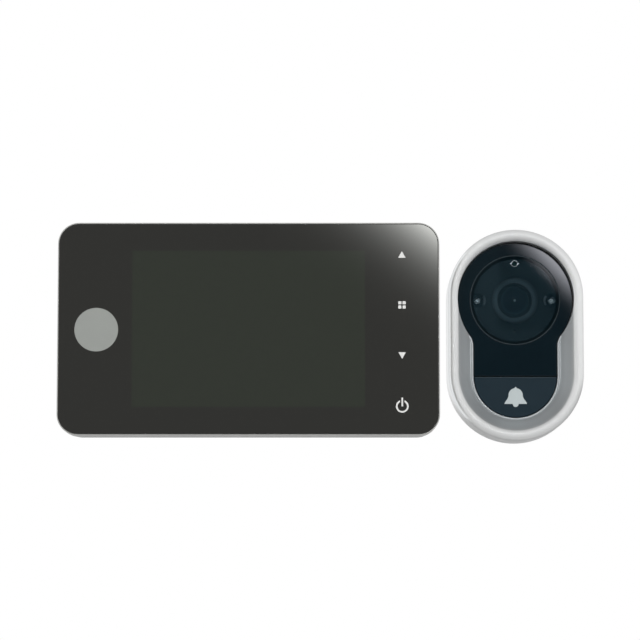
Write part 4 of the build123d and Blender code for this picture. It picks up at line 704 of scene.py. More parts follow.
def thread_points(start, stop, crest, root, pitch, share):
    """Profile of a thread whose turns creep along by one pitch in one turn, fading out at both ends."""
    turns = int(math.ceil((stop - start) / pitch))
    steps = ((0.0, 0.0), (0.125, 0.0), (0.5, 1.0), (0.625, 1.0))
    points = []
    for turn in range(-1, turns):
        for along, depth in steps:
            y = start + (turn + along + share) * pitch
            fade = min(1.0, max(0.0, (y - start) / pitch), max(0.0, (stop - y) / pitch))
            points.append((crest + (root - crest) * depth * fade, min(max(y, start), stop)))
    return points


def swept(mesh, points, radius, sides=10):
    """Add round wire along a line of points, with closed ends."""
    part = bmesh.new()
    last = len(points) - 1
    side = None
    rows = []
    for index, point in enumerate(points):
        ahead = (points[min(index + 1, last)] - points[max(index - 1, 0)]).normalized()
        side = ahead.orthogonal() if side is None else side
        side = (side - ahead * side.dot(ahead)).normalized()
        other = ahead.cross(side)
        rows.append([
            part.verts.new(point + (side * math.cos(turn) + other * math.sin(turn)) * radius)
            for turn in (TURN * k / sides for k in range(sides))
        ])
    skin(part, rows)
    bmesh.ops.recalc_face_normals(part, faces=part.faces)
    shade(part, 50.0)
    join(mesh, part)


def slab(mesh, outline, low_y, high_y, ease):
    """Add a plate with an outline of (x, z) points, its rims eased by a small round."""
    part = bmesh.new()
    rows = []
    centre = Vector([sum(point[k] for point in outline) / len(outline) for k in range(2)])
    near = ((low_y, ease), (low_y + ease * 0.3, ease * 0.3), (low_y + ease, 0.0))
    far = ((high_y - ease, 0.0), (high_y - ease * 0.3, ease * 0.3), (high_y, ease))
    for y, pull in (*near, *far):
        row = []
        for point in outline:
            out = Vector(point) - centre
            out = out - out.normalized() * pull if out.length > pull else out
            row.append(part.verts.new((centre.x + out.x, y, centre.y + out.y)))
        rows.append(row)
    skin(part, rows)
    bmesh.ops.recalc_face_normals(part, faces=part.faces)
    shade(part, 40.0)
    join(mesh, part)


def rounded_box(mesh, low, high, ease_mm):
    """Add a block with eased edges between two corners."""
    part = bmesh.new()
    bmesh.ops.create_cube(part, size=1.0)
    low, size = Vector(low), Vector(high) - Vector(low)
    part.transform(Matrix.Translation(low + size / 2) @ Matrix.Diagonal((*size, 1.0)))
    bmesh.ops.bevel(part, geom=part.edges, offset=min(ease_mm * MM, min(size) * 0.45), segments=2,
                    affect="EDGES", profile=0.5)
    shade(part, 40.0)
    join(mesh, part)


def solids_in(name):
    """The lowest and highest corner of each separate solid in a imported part."""
    mesh = packed_mesh(name)
    boxes = []
    waiting = set(mesh.verts)
    while waiting:
        stack = [waiting.pop()]
        part = []
        while stack:
            vert = stack.pop()
            part.append(vert.co.copy())
            for edge in vert.link_edges:
                other = edge.other_vert(vert)
                if other in waiting:
                    waiting.discard(other)
                    stack.append(other)
        boxes.append((
            Vector([min(point[side] for point in part) for side in range(3)]),
            Vector([max(point[side] for point in part) for side in range(3)]),
        ))
    mesh.free()
    return sorted(boxes, key=lambda box: tuple(box[0]))


def cross_recess(arm, width):
    """Radius of a cross-shaped recess at each angle."""
    def radius_at(angle):
        fold = angle % QUARTER
        fold = min(fold, QUARTER - fold)
        side = width / 2
        return min(arm, side / math.sin(fold)) if math.sin(fold) > side / arm else arm

    return radius_at


# Round of a pan head: shares of its radius, and of its height from the underside.
PAN_HEAD = ((0.97, 0.0), (1.0, 0.12), (1.0, 0.3), (0.93, 0.62), (0.8, 0.86), (0.64, 1.0))


def screws(name, body, stands_for, head_mm):
    """Cross-recessed pan-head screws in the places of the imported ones, heads towards the back."""
    pitch = looks("hardware_sizes").screw_pitch
    tall = head_mm * MM
    mesh = bmesh.new()
    for low, high in solids_in(stands_for):
        head = (high.x - low.x) / 2
        shank = head * 0.52
        under = high.y - tall
        recess = cross_recess(head * 0.6, head * 0.3)

        def profile(angle, share):
            mouth = recess(angle)
            thread = thread_points(low.y + 0.8 * MM, under - 0.5 * MM, shank, shank * 0.74, pitch, share)
            return [
                (0.0, low.y), (shank * 0.35, low.y + 0.1 * MM), *thread, (shank, under),
                *[(head * out, under + tall * up) for out, up in PAN_HEAD],
                (mouth, high.y), (mouth * 0.8, high.y - tall * 0.55), (0.0, high.y - tall * 0.7),
            ]

        spun(mesh, 64, profile, axis_through(low, high))
    piece(name, body, "zinc_steel", mesh, [stands_for])


def foam_from(name, node, body, ease_mm):
    """Die-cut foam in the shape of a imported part, with soft rims."""
    mesh = packed_mesh(node)
    bmesh.ops.dissolve_limit(mesh, angle_limit=math.radians(2), verts=mesh.verts, edges=mesh.edges)
    rims = [edge for edge in mesh.edges if edge.is_manifold and edge.calc_face_angle(0.0) > math.radians(60)]
    bmesh.ops.bevel(mesh, geom=rims, offset=ease_mm * MM, segments=3, affect="EDGES", profile=0.5,
                    clamp_overlap=True)
    bmesh.ops.triangulate(mesh, faces=[face for face in mesh.faces if len(face.verts) > 4])
    shade(mesh, 50.0)
    piece(name, body, "foam_grey", mesh, [node])


def small_parts(mesh, table, back, ease_mm):
    """Add blocks on the back of a board, from (left, bottom, width, height, thickness) in mm."""
    for left, bottom, wide, tall, thick in table:
        corner = Vector((left * MM, back, bottom * MM))
        rounded_box(mesh, corner, corner + Vector((wide, thick, tall)) * MM, ease_mm)


class ShellPieces(bpy.types.Operator):
    """Silver shell of the doorbell camera"""

    bl_idname = "door_camera.shell"
    bl_label = "Camera shell"

    def execute(self, context):
        dress("camera_housing")
        return {"FINISHED"}


class FrontPieces(bpy.types.Operator):
    """Black front, round window and the button with its bell"""

    bl_idname = "door_camera.front"
    bl_label = "Black front and button"

    def execute(self, context):
        dress("front_panel", "window_tape", "doorbell_button", "switch_body", "switch_plunger")
        dress("bell_icon", finish=bell_ink())
        self.bead()
        self.window()
        self.window_edge()
        return {"FINISHED"}

    def bead(self):
        """Top edge of the button, a thin paler line from side to side: a painted highlight."""
        low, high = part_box("doorbell_button")
        line = [Vector((x * MM, low.y + 0.12 * MM, high.z - 0.1 * MM)) for x in (-14.7, -5.0, 5.0, 14.7)]
        mesh = bmesh.new()
        swept(mesh, line, 0.11 * MM, sides=12)
        piece("button_top_bead", "doorbell_button", "satin_black", mesh, finish=painted_edge_highlight())

    def window(self):
        """Round window with its front rim eased."""
        low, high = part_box("lens_window")
        profile = [
            (0.0, low.y), *rounded_rim(high.x, low.y, 0.22 * MM),
            *steps_from(high.x, high.y, (0.0, -0.05), (-0.05, 0.0)), (0.0, high.y),
        ]
        mesh = spun(bmesh.new(), 128, fixed(profile), sharp_deg=20.0)
        piece("round_window", CAMERA_BODY, "smoked_window", mesh, ["lens_window"])

    def window_edge(self):
        """Ground band on the window's eased rim."""
        low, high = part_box("lens_window")
        profile = steps_from(high.x, low.y, (-0.22, -0.02), (-0.02, 0.01), (0.0, 0.03), (0.0, 0.22),
                             (-0.22, 0.02))
        mesh = spun(bmesh.new(), 128, fixed(profile), sharp_deg=50.0)
        piece("window_edge", CAMERA_BODY, "smoked_window", mesh, finish=ground_acrylic())


class LensPieces(bpy.types.Operator):
    """Lens, ring, shroud, diodes and sensors behind the window"""

    bl_idname = "door_camera.lens"
    bl_label = "Lens and diodes"

    def execute(self, context):
        dress("lens_shroud", "lens_barrel", "lens_elements", "image_sensor", "infrared_leds", "light_sensor")
        dress("lens_ring", finish=satin_ring())
        dress("microphone", finish=material_for("chip_black"))
        self.eye()
        self.diode_cups()
        self.hoods()
        return {"FINISHED"}

    def eye(self):
        """Slim plated rim round the light sensor, drawn out to a point at each side."""
        low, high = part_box("sensor_bezel")
        half, tall, bore, ease = high.x, (high.z - low.z) / 2, 1.0 * MM, 0.07 * MM

        def profile(angle, share):
            reach = max(tall, 1 / (abs(math.cos(angle)) / half + abs(math.sin(angle)) / tall))
            return [
                (bore, high.y), (bore, low.y + ease), (bore + ease, low.y), (reach - ease, low.y),
                (reach, low.y + ease), (reach, high.y),
            ]

        mesh = spun(bmesh.new(), 96, profile, axis_through(low, high))
        piece("sensor_eye", CAMERA_BODY, "bright_bezel", mesh, ["sensor_bezel"])

    def diode_cups(self):
        """Pressed cup with its die inside each clear diode."""
        mesh = bmesh.new()
        for low, high in solids_in("infrared_leds"):
            x, y, z = axis_through(low, high)
            profile = steps_from(0.0, high.y, (0.0, -1.6), (0.45, -1.6), (0.95, -2.5), (1.08, -2.53),
                                 (1.12, -2.4), (1.0, -0.6), (0.0, -0.6))
            spun(mesh, 40, fixed(profile), (x, y, z))
            corner = Vector((x - 0.25 * MM, high.y - 1.82 * MM, z - 0.25 * MM))
            rounded_box(mesh, corner, corner + Vector((0.5, 0.24, 0.5)) * MM, 0.04)
        piece("diode_cups", CAMERA_BODY, "bright_bezel", mesh, finish=lead_frame())

    def hoods(self):
        """Small curved hood on the inner side of each diode."""
        mesh = bmesh.new()
        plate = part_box("lens_shroud")[0].y
        half_arc = math.radians(38)
        profile = steps_from(0.0, plate, (2.2, 0.3), (2.35, -0.2), (2.6, -0.32), (2.95, -0.25), (3.1, 0.3))
        for low, high in solids_in("infrared_leds"):
            middle = (low.x + high.x) / 2
            facing = math.pi if middle > 0 else 0.0
            spun(mesh, 24, fixed(profile), (middle, 0.0, 0.0), start=facing - half_arc, sweep=2 * half_arc)
        piece("diode_hoods", CAMERA_BODY, "inner_black", mesh, finish=painted_hood_highlight())


# Chips and capacitors behind the lens: left, bottom, width, height and thickness in mm.
CAMERA_BOARD_PARTS = (
    (-13.0, 6.5, 5.0, 5.0, 0.8), (7.55, 8.05, 3.9, 4.9, 0.9), (-10.5, -11.0, 3.0, 3.0, 0.7),
    (9.7, -10.4, 1.6, 0.8, 0.6), (9.7, -12.4, 1.6, 0.8, 0.6), (-4.4, 10.1, 1.6, 0.8, 0.6),
    (-4.4, 8.2, 1.6, 0.8, 0.6), (12.4, 3.0, 1.2, 2.0, 0.6), (-14.1, 1.0, 1.2, 2.0, 0.6),
)


class CameraInsidePieces(bpy.types.Operator):
    """Camera board, back plate, gasket and screws"""

    bl_idname = "door_camera.camera_inside"
    bl_label = "Camera board and back"

    def execute(self, context):
        dress("camera_board", "ribbon_connector", "back_plate")
        screws("board_screw_set", CAMERA_BODY, "board_screws", head_mm=1.1)
        screws("camera_screw_set", CAMERA_BODY, "camera_screws", head_mm=1.2)
        foam_from("foam_gasket", "rear_gasket", CAMERA_BODY, ease_mm=0.2)
        self.board_parts()
        return {"FINISHED"}

    def board_parts(self):
        """Small chips and capacitors soldered to the back of the camera board."""
        mesh = bmesh.new()
        small_parts(mesh, CAMERA_BOARD_PARTS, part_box("camera_board")[1].y, ease_mm=0.08)
        piece("camera_board_chips", CAMERA_BODY, "chip_black", mesh)


# The barrel is plain for its first length, which lies in the door's hole, and threaded behind it.
BARREL_CREST = 7.0 * MM
BARREL_SHOULDER = 7.4 * MM
BARREL_PLAIN = 12.0 * MM
BARREL_CHAMFER = 0.6 * MM
CABLE_BORE = 5.0 * MM
WASHER_BORE = 7.05 * MM
NUT_BORE = 6.95 * MM
NUT_ROOT = 7.35 * MM


class BarrelPieces(bpy.types.Operator):
    """Threaded barrel, washer and nut"""

    bl_idname = "door_camera.barrel"
    bl_label = "Barrel, washer and nut"

    def execute(self, context):
        self.barrel()
        self.washer()
        self.nut()
        return {"FINISHED"}

    def barrel(self):
        """Flanged barrel with the cable's bore through it."""
        sizes = looks("hardware_sizes")
        low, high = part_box("viewer_barrel")
        root = BARREL_CREST - sizes.thread_depth

        def profile(angle, share):
            thread = thread_points(BARREL_PLAIN, high.y - BARREL_CHAMFER, BARREL_CREST, root,
                                   sizes.thread_pitch, share)
            return [
                *steps_from(CABLE_BORE, low.y, (0.0, 0.3), (0.3, 0.0)),
                *steps_from(high.z, low.y, (-0.2, 0.0), (0.0, 0.2), (0.0, 1.0)),
                (BARREL_SHOULDER, low.y + 1.0 * MM), (BARREL_SHOULDER, 0.0), (BARREL_CREST, 0.0), *thread,
                (BARREL_CREST - BARREL_CHAMFER, high.y),
                *steps_from(CABLE_BORE, high.y, (0.3, 0.0), (0.0, -0.3)),
            ]

        mesh = spun(bmesh.new(), 96, profile)
        piece("threaded_barrel", CAMERA_BODY, "nickel_brass", mesh, ["viewer_barrel"])

    def washer(self):
        """Stamped washer, rounded where the punch drew it in."""
        low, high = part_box("barrel_washer")
        outer, ease = (high.x - low.x) / 2, 0.25 * MM
        profile = [
            (WASHER_BORE, low.y), *rounded_rim(outer, low.y, ease),
            *steps_from(outer, high.y, (0.0, -0.05), (-0.05, 0.0)),
            (WASHER_BORE + ease, high.y), (WASHER_BORE, high.y - ease),
        ]
        mesh = spun(bmesh.new(), 96, fixed(profile), axis_through(low, high))
        piece("stamped_washer", CAMERA_BODY, "zinc_steel", mesh, ["barrel_washer"])

    def nut(self):
        """Six-sided nut, its corners turned off at both faces."""
        pitch = looks("hardware_sizes").thread_pitch
        low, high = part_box("barrel_nut")
        flat = (high.z - low.z) / 2
        depths = [0.0, 0.15 * MM, 0.35 * MM, 0.6 * MM, 0.9 * MM]

        def profile(angle, share):
            corner = flat / math.cos(angle % (TURN / 6) - TURN / 12)
            cone = [(min(corner, flat * 0.97 + depth * 1.9), depth) for depth in depths]
            inside = thread_points(low.y + 0.5 * MM, high.y - 0.5 * MM, NUT_ROOT, NUT_BORE, pitch, share)
            return [
                *[(radius, low.y + depth) for radius, depth in cone],
                *[(radius, high.y - depth) for radius, depth in reversed(cone)],
                (NUT_ROOT + 0.3 * MM, high.y), *reversed(inside), (NUT_ROOT + 0.3 * MM, low.y),
            ]

        mesh = spun(bmesh.new(), 96, profile, axis_through(low, high), sharp_deg=28.0)
        piece("hex_nut", CAMERA_BODY, "nickel_brass", mesh, ["barrel_nut"])


class GlassPieces(bpy.types.Operator):
    """Front glass of the monitor with its film, tape, badge and key marks"""

    bl_idname = "door_camera.glass"
    bl_label = "Monitor glass and marks"

    def execute(self, context):
        dress("glass_mask", "badge_disc", "key_icons", "glass_tape")
        self.sheet()
        return {"FINISHED"}

    def sheet(self):
        """The sheet of glass, its back drawn 0.03 mm clear of the film so that the two don't fight."""
        mesh = packed_mesh("front_glass")
        bmesh.ops.dissolve_limit(mesh, angle_limit=math.radians(0.5), verts=mesh.verts, edges=mesh.edges)
        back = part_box("front_glass")[1].y
        for vert in mesh.verts:
            if vert.co.y > back - 0.01 * MM:
                vert.co.y -= 0.03 * MM
        shade(mesh, 30.0)
        piece("cover_glass", MONITOR_BODY, "tinted_glass", mesh, ["front_glass"])


class PicturePieces(bpy.types.Operator):
    """Picture panel, light plate, tray and touch board"""

    bl_idname = "door_camera.picture"
    bl_label = "Picture module"

    def execute(self, context):
        dress("lcd_panel", "lcd_backlight", "lcd_frame", "touch_board")
        return {"FINISHED"}


# Small parts round the chips: left, bottom, width, height and thickness in mm.
MAIN_BOARD_PARTS = (
    (-100.0, 14.0, 3.2, 1.6, 1.1), (-104.5, 14.0, 3.2, 1.6, 1.1), (-84.0, 14.0, 2.0, 1.2, 1.1),
    (-84.0, 11.0, 2.0, 1.2, 1.1), (-112.0, -3.0, 2.0, 1.2, 1.1), (-112.0, -6.0, 2.0, 1.2, 1.1),
    (-68.0, -5.0, 4.0, 4.0, 1.1), (-48.0, -5.0, 3.2, 1.6, 1.1),
)
# Line of a chip's leg: inwards from the leg's end, and up from the board, in mm.
CHIP_LEG = ((0.0, 0.05), (0.35, 0.08), (0.5, 0.45), (0.9, 0.55))
LEG_SPACING = 0.8 * MM
# Notch of the memory card: distances from its right edge and from its top edge in mm.
CARD_NOTCH = ((0.0, 3.0), (1.2, 1.9), (6.0, 1.9), (6.6, 1.2), (7.8, 1.2), (8.6, 0.0))
# Speaker, from its middle outwards: radius and depth below the rim in mm, and share of the cone's ribs.
CONE = (
    (0.0, 0.75, 0.0), (1.6, 0.82, 0.0), (2.9, 1.15, 0.0), (3.3, 1.5, 0.0), (5.2, 1.0, 0.2), (6.9, 0.55, 0.3),
    (7.3, 0.35, 0.3), (7.9, 0.12, 0.5), (8.6, 0.3, 0.0), (8.9, 0.42, 0.0), (9.0, 0.0, 0.0),
)


class BoardPieces(bpy.types.Operator):
    """Main board, chips, sockets, card and speaker"""

    bl_idname = "door_camera.boards"
    bl_label = "Main board and sockets"

    def execute(self, context):
        dress("main_board", "ribbon_socket", "card_socket")
        self.chips()
        self.card()
        self.charge_socket()
        self.speaker()
        return {"FINISHED"}

    def chips(self):
        """Chips with their legs, and small parts round them."""
        bodies, legs = bmesh.new(), bmesh.new()
        board_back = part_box("main_board")[1].y
        inset, stand = 0.8 * MM, 0.1 * MM
        for low, high in solids_in("board_chips"):
            rounded_box(bodies, (low.x + inset, low.y + stand, low.z + inset),
                        (high.x - inset, high.y, high.z - inset), 0.12)
            side = high.z - low.z - 2 * inset
            count = max(3, int(side / LEG_SPACING))
            for k in range(count):
                z = low.z + inset + (k + 0.5) * side / count
                for edge, inwards in ((low.x, MM), (high.x, -MM)):
                    line = [Vector((edge + inwards * x, board_back + y * MM, z)) for x, y in CHIP_LEG]
                    swept(legs, line, 0.09 * MM, sides=6)
        small_parts(bodies, MAIN_BOARD_PARTS, board_back, ease_mm=0.12)
        piece("leaded_chips", MONITOR_BODY, "chip_black", bodies, ["board_chips"])
        piece("chip_legs", MONITOR_BODY, "tinned_steel", legs)

    def card(self):
        """Memory card with its notch, thumb ridge and contacts."""
        low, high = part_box("memory_card")
        card, contacts = bmesh.new(), bmesh.new()
        ease, cut = 0.6 * MM, 1.2 * MM
        outline = [
            (low.x + ease, low.z), (high.x - cut, low.z), (high.x, low.z + cut),
            *[(high.x - across * MM, high.z - down * MM) for across, down in CARD_NOTCH],
            (low.x + ease, high.z), (low.x, high.z - ease), (low.x, low.z + ease),
        ]
        slab(card, outline, low.y, high.y - 0.1 * MM, 0.08 * MM)
        rounded_box(card, (low.x + 0.1 * MM, high.y - 0.3 * MM, low.z + 0.5 * MM),
                    (low.x + 1.4 * MM, high.y, high.z - 0.5 * MM), 0.12)
        for k in range(8):
            z = low.z + (1 + k) * MM
            rounded_box(contacts, (high.x - 3.8 * MM, low.y, z),
                        (high.x - 1.0 * MM, low.y + 0.06 * MM, z + 0.7 * MM), 0.02)
        piece("memory_card_body", CARD_BODY, "chip_black", card, ["memory_card"])
        piece("memory_card_contacts", CARD_BODY, "nickel_brass", contacts)

    def charge_socket(self):
        """Charging socket: folded steel shell with rolled edge, tongue and contacts."""
        low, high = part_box("usb_socket")
        shell, tongue, contacts = bmesh.new(), bmesh.new(), bmesh.new()
        wall, roll, lip, cut = 0.3 * MM, 0.08 * MM, 0.1 * MM, 0.55 * MM
        slant = cut * 1.3

        def ring(x, pull):
            top, bottom = high.y - pull, low.y + pull
            left, right = low.z + pull, high.z - pull
            return [shell.verts.new((x, y, z)) for y, z in (
                (top, left + cut), (top, right - cut), (top - cut, right), (bottom + slant, right),
                (bottom, right - slant), (bottom, left + slant), (bottom + slant, left), (top - cut, left),
            )]

        skin(shell, [
            ring(low.x, 0.0), ring(high.x - lip, 0.0), ring(high.x, roll), ring(high.x, wall - roll),
            ring(high.x - lip, wall), ring(low.x + wall, wall),
        ])
        bmesh.ops.recalc_face_normals(shell, faces=shell.faces)
        shade(shell, 30.0)
        height, middle = (low.y + high.y) / 2 + 0.25 * MM, (low.z + high.z) / 2
        rounded_box(tongue, (low.x + wall, height - 0.3 * MM, middle - 1.9 * MM),
                    (high.x - 0.9 * MM, height + 0.3 * MM, middle + 1.9 * MM), 0.12)
        for k in range(-2, 3):
            z = middle + k * 0.65 * MM
            rounded_box(contacts, (high.x - 3.2 * MM, height - 0.4 * MM, z - 0.18 * MM),
                        (high.x - 1.2 * MM, height - 0.28 * MM, z + 0.18 * MM), 0.04)
        piece("charge_socket_shell", MONITOR_BODY, "tinned_steel", shell, ["usb_socket"])
        piece("charge_socket_tongue", MONITOR_BODY, "chip_black", tongue)
        piece("charge_socket_contacts", MONITOR_BODY, "nickel_brass", contacts)

    def speaker(self):
        """Loudspeaker: basket, magnet, rolled surround, cone and dust cap."""
        low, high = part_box("speaker")
        radius = (high.x - low.x) / 2

        def profile(angle, share):
            rib = 0.12 * math.sin(24 * angle)
            return [
                *steps_from(0.0, high.y, *[(out, rib * ribbed - depth) for out, depth, ribbed in CONE]),
                *steps_from(radius, high.y, (-0.15, 0.0), (0.0, -0.15), (0.0, -1.0), (-0.3, -1.1),
                            (-1.2, -2.2)),
                (6.6 * MM, high.y - 2.6 * MM), *steps_from(0.0, low.y, (6.4, 0.2), (6.2, 0.0), (0.0, 0.0)),
            ]

        mesh = spun(bmesh.new(), 96, profile, axis_through(low, high))
        piece("loudspeaker", MONITOR_BODY, "speaker_black", mesh, ["speaker"])


class CasePieces(bpy.types.Operator):
    """Monitor frame, rear housing, battery cover and screws"""

    bl_idname = "door_camera.case"
    bl_label = "Monitor case"

    def execute(self, context):
        dress("monitor_frame", "rear_housing", "battery_cover")
        screws("housing_screw_set", MONITOR_BODY, "housing_screws", head_mm=1.4)
        return {"FINISHED"}


POLE_HEIGHT = 1.0 * MM
# A spring in another row of cells counts as this much farther away.
OTHER_ROW = 9
# Each spring ends in most of a flat turn, and its free end is this wide.
FLAT_TURN = 0.75
SPRING_TIP = 2.0 * MM
STEPS_A_TURN = 24
# Contact plate, as shares of its side: where its corners start, their round, and the boss in its middle.
CORNER_START, CORNER_ROUND = 0.42, 0.08
BOSS_REACH, BOSS_SLOPE = 0.22, 0.06


class BatteryPieces(bpy.types.Operator):
    """Cells, coil springs and contact plates in the battery bay"""

    bl_idname = "door_camera.batteries"
    bl_label = "Batteries and contacts"

    def execute(self, context):
        self.cells()
        self.springs()
        self.plates()
        return {"FINISHED"}

    def cells(self):
        """Cells in shrink sleeves, with steel ends and a raised pole, flat ends towards the springs."""
        sleeves, cans = bmesh.new(), bmesh.new()
        springs = [(low + high) / 2 for low, high in solids_in("battery_springs")]
        for low, high in solids_in("battery_cells"):
            middle = (low + high) / 2
            radius, half = (high.z - low.z) / 2, (high.x - low.x) / 2
            shoulder = half - POLE_HEIGHT
            from_left, from_right = [
                min(abs(spring.x - end) + abs(spring.z - middle.z) * OTHER_ROW for spring in springs)
                for end in (low.x, high.x)
            ]
            turned = Matrix.Rotation(-QUARTER if from_left < from_right else QUARTER, 4, "Z")
            spun(sleeves, 64, fixed([
                *steps_from(radius, -half, (-1.3, 0.02), (-0.5, 0.0), (-0.12, 0.15), (0.0, 0.5)),
                *steps_from(radius, shoulder, (0.0, -0.6), (-0.15, -0.18), (-0.6, 0.0), (-1.5, -0.02),
                            (-1.5, -0.2), (-0.25, -0.8)),
                *steps_from(radius, -half, (-0.25, 0.7), (-1.3, 0.2)),
            ]), middle, turned=turned)
            spun(cans, 64, fixed([
                (0.0, -half + 0.05 * MM), *steps_from(radius, -half, (-1.9, 0.05), (-1.5, 0.3), (-0.35, 0.8)),
                *steps_from(radius, shoulder, (-0.35, -0.9), (-1.7, -0.25), (-2.6, -0.3)),
                *steps_from(0.0, shoulder, (3.2, -0.1), (2.75, 0.1)),
                *steps_from(0.0, half, (2.75, -0.2), (2.55, 0.0), (0.0, 0.0)),
            ]), middle, turned=turned)
        piece("cell_sleeves", MONITOR_BODY, "cell_sleeve", sleeves, ["battery_cells"])
        piece("cell_cans", MONITOR_BODY, "tinned_steel", cans)

    def springs(self):
        """Coned coil springs, widest where they leave the wall."""
        sizes = looks("hardware_sizes")
        wire = sizes.spring_wire / 2
        total = int((sizes.spring_turns + 2 * FLAT_TURN) * STEPS_A_TURN)
        cells = solids_in("battery_cells")
        mesh = bmesh.new()
        for low, high in solids_in("battery_springs"):
            middle = (low + high) / 2
            same_row = [box for box in cells if abs((box[0].z + box[1].z) / 2 - middle.z) < 3 * MM]
            cell_after = any(abs(box[0].x - high.x) < 1 * MM for box in same_row)
            wall, ahead = (low.x, 1) if cell_after else (high.x, -1)
            wide, length = (high.z - low.z) / 2 - wire, high.x - low.x - 2 * wire
            points = []
            for k in range(total + 1):
                rise = min(1.0, max(0.0, (k / STEPS_A_TURN - FLAT_TURN) / sizes.spring_turns))
                radius = wide + (SPRING_TIP - wide) * rise
                angle = TURN * k / STEPS_A_TURN
                points.append(Vector((
                    wall + ahead * (wire + length * rise),
                    middle.y + radius * math.cos(angle), middle.z + radius * math.sin(angle),
                )))
            swept(mesh, points, wire)
        piece("coil_springs", MONITOR_BODY, "nickel_brass", mesh, ["battery_springs"])

    def plates(self):
        """Pressed contact plates with a raised boss, eased corners and a slight rim."""
        mesh = bmesh.new()
        for low, high in solids_in("battery_plates"):
            part = bmesh.new()
            bmesh.ops.create_grid(part, x_segments=24, y_segments=24, size=0.5)
            thick, tall, wide = high - low
            for vert in part.verts:
                across, up = self.eased(vert.co.x, vert.co.y)
                boss = max(0.0, min(1.0, (BOSS_REACH - math.hypot(vert.co.x, vert.co.y)) / BOSS_SLOPE))
                rim = 1.0 if max(abs(vert.co.x), abs(vert.co.y)) > 0.49 else 0.0
                vert.co = Vector(((boss * 0.25 + rim * 0.045) * thick, up * tall, across * wide))
            grown = bmesh.ops.extrude_face_region(part, geom=part.faces[:])
            for item in grown["geom"]:
                if isinstance(item, bmesh.types.BMVert):
                    item.co.x += thick * 0.6
            bmesh.ops.recalc_face_normals(part, faces=part.faces)
            shade(part, 40.0)
            middle = (low + high) / 2
            part.transform(Matrix.Translation((low.x + thick * 0.05, middle.y, middle.z)))
            join(mesh, part)
        piece("contact_plates", MONITOR_BODY, "tinned_steel", mesh, ["battery_plates"])

    def eased(self, across, up):
        """A point of a square of side 1, drawn in where it lies in one of the corners."""
        pull = Vector((abs(across) - CORNER_START, abs(up) - CORNER_START))
        if min(pull) <= 0.0:
            return across, up
        if pull.length > CORNER_ROUND:
            pull = pull.normalized() * CORNER_ROUND
        return math.copysign(CORNER_START + pull.x, across), math.copysign(CORNER_START + pull.y, up)


class BracketPieces(bpy.types.Operator):
    """Door bracket and its foam pads"""

    bl_idname = "door_camera.bracket"
    bl_label = "Door bracket"

    def execute(self, context):
        dress("door_bracket")
        foam_from("foam_pads", "bracket_pads", CAMERA_BODY, ease_mm=0.18)
        return {"FINISHED"}


# Studio, with places in metres and levels where 1 is white

CAMERA_PLACE = (-0.0713, -1.0592, -0.1173)
CAMERA_TILT_DEG = 96.0
CAMERA_LENS_MM = 161.9
SENSOR_MM = 36.0
LAMP_TARGET = (-0.07, 0.0, -0.01)
LAMP_SIDE = 0.6
# Each lamp's place and its share of the key light's power.
LAMPS = {"key_softbox": ((-0.5, -0.9, 0.7), 1.0), "fill_softbox": ((0.7, -0.8, 0.35), 0.5)}
FLOOR_HEIGHT = -0.15
FLOOR_HALF = 2.0
FLOOR_PAPER = (0.82, 0.82, 0.82, 1.0)
# What the floor gives to the camera alone, so that it joins the white background.
FLOOR_LIFT = 0.15
# The surround as polished pieces mirror it, level with them and from above.
SIDES_IN_MIRROR = 1.14
TOP_IN_MIRROR = 0.78
# The reflection cards stand above the camera, the bright ones half a millimetre in front.
CARD_Y_MM = -1060.5
GLEAM_Y_MM = -1060.0
GREY_CARD = (0.58, 0.58, 0.57)
DARK_CARD = (0.05, 0.125, 0.17)
DARK_CARD_GAIN = (0.08, 0.12, 0.14)
GAP_CARD = (1.25, 1.27, 1.28)
GLASS_GLEAM = (21.4, 21.7, 20.9)
PLATE_GLEAM = (9.3, 9.4, 10.2)


def lamp(name, place, power):
    """A soft square lamp that faces the object and isn't mirrored in it."""
    data = bpy.data.lights.new(name, "AREA")
    data.shape = "SQUARE"
    data.size = LAMP_SIDE
    data.energy = power
    made = bpy.data.objects.new(name, data)
    bpy.context.scene.collection.objects.link(made)
    made.location = place
    made.rotation_euler = (Vector(LAMP_TARGET) - Vector(place)).to_track_quat("-Z", "Y").to_euler()
    made.visible_glossy = False
    made.visible_transmission = False


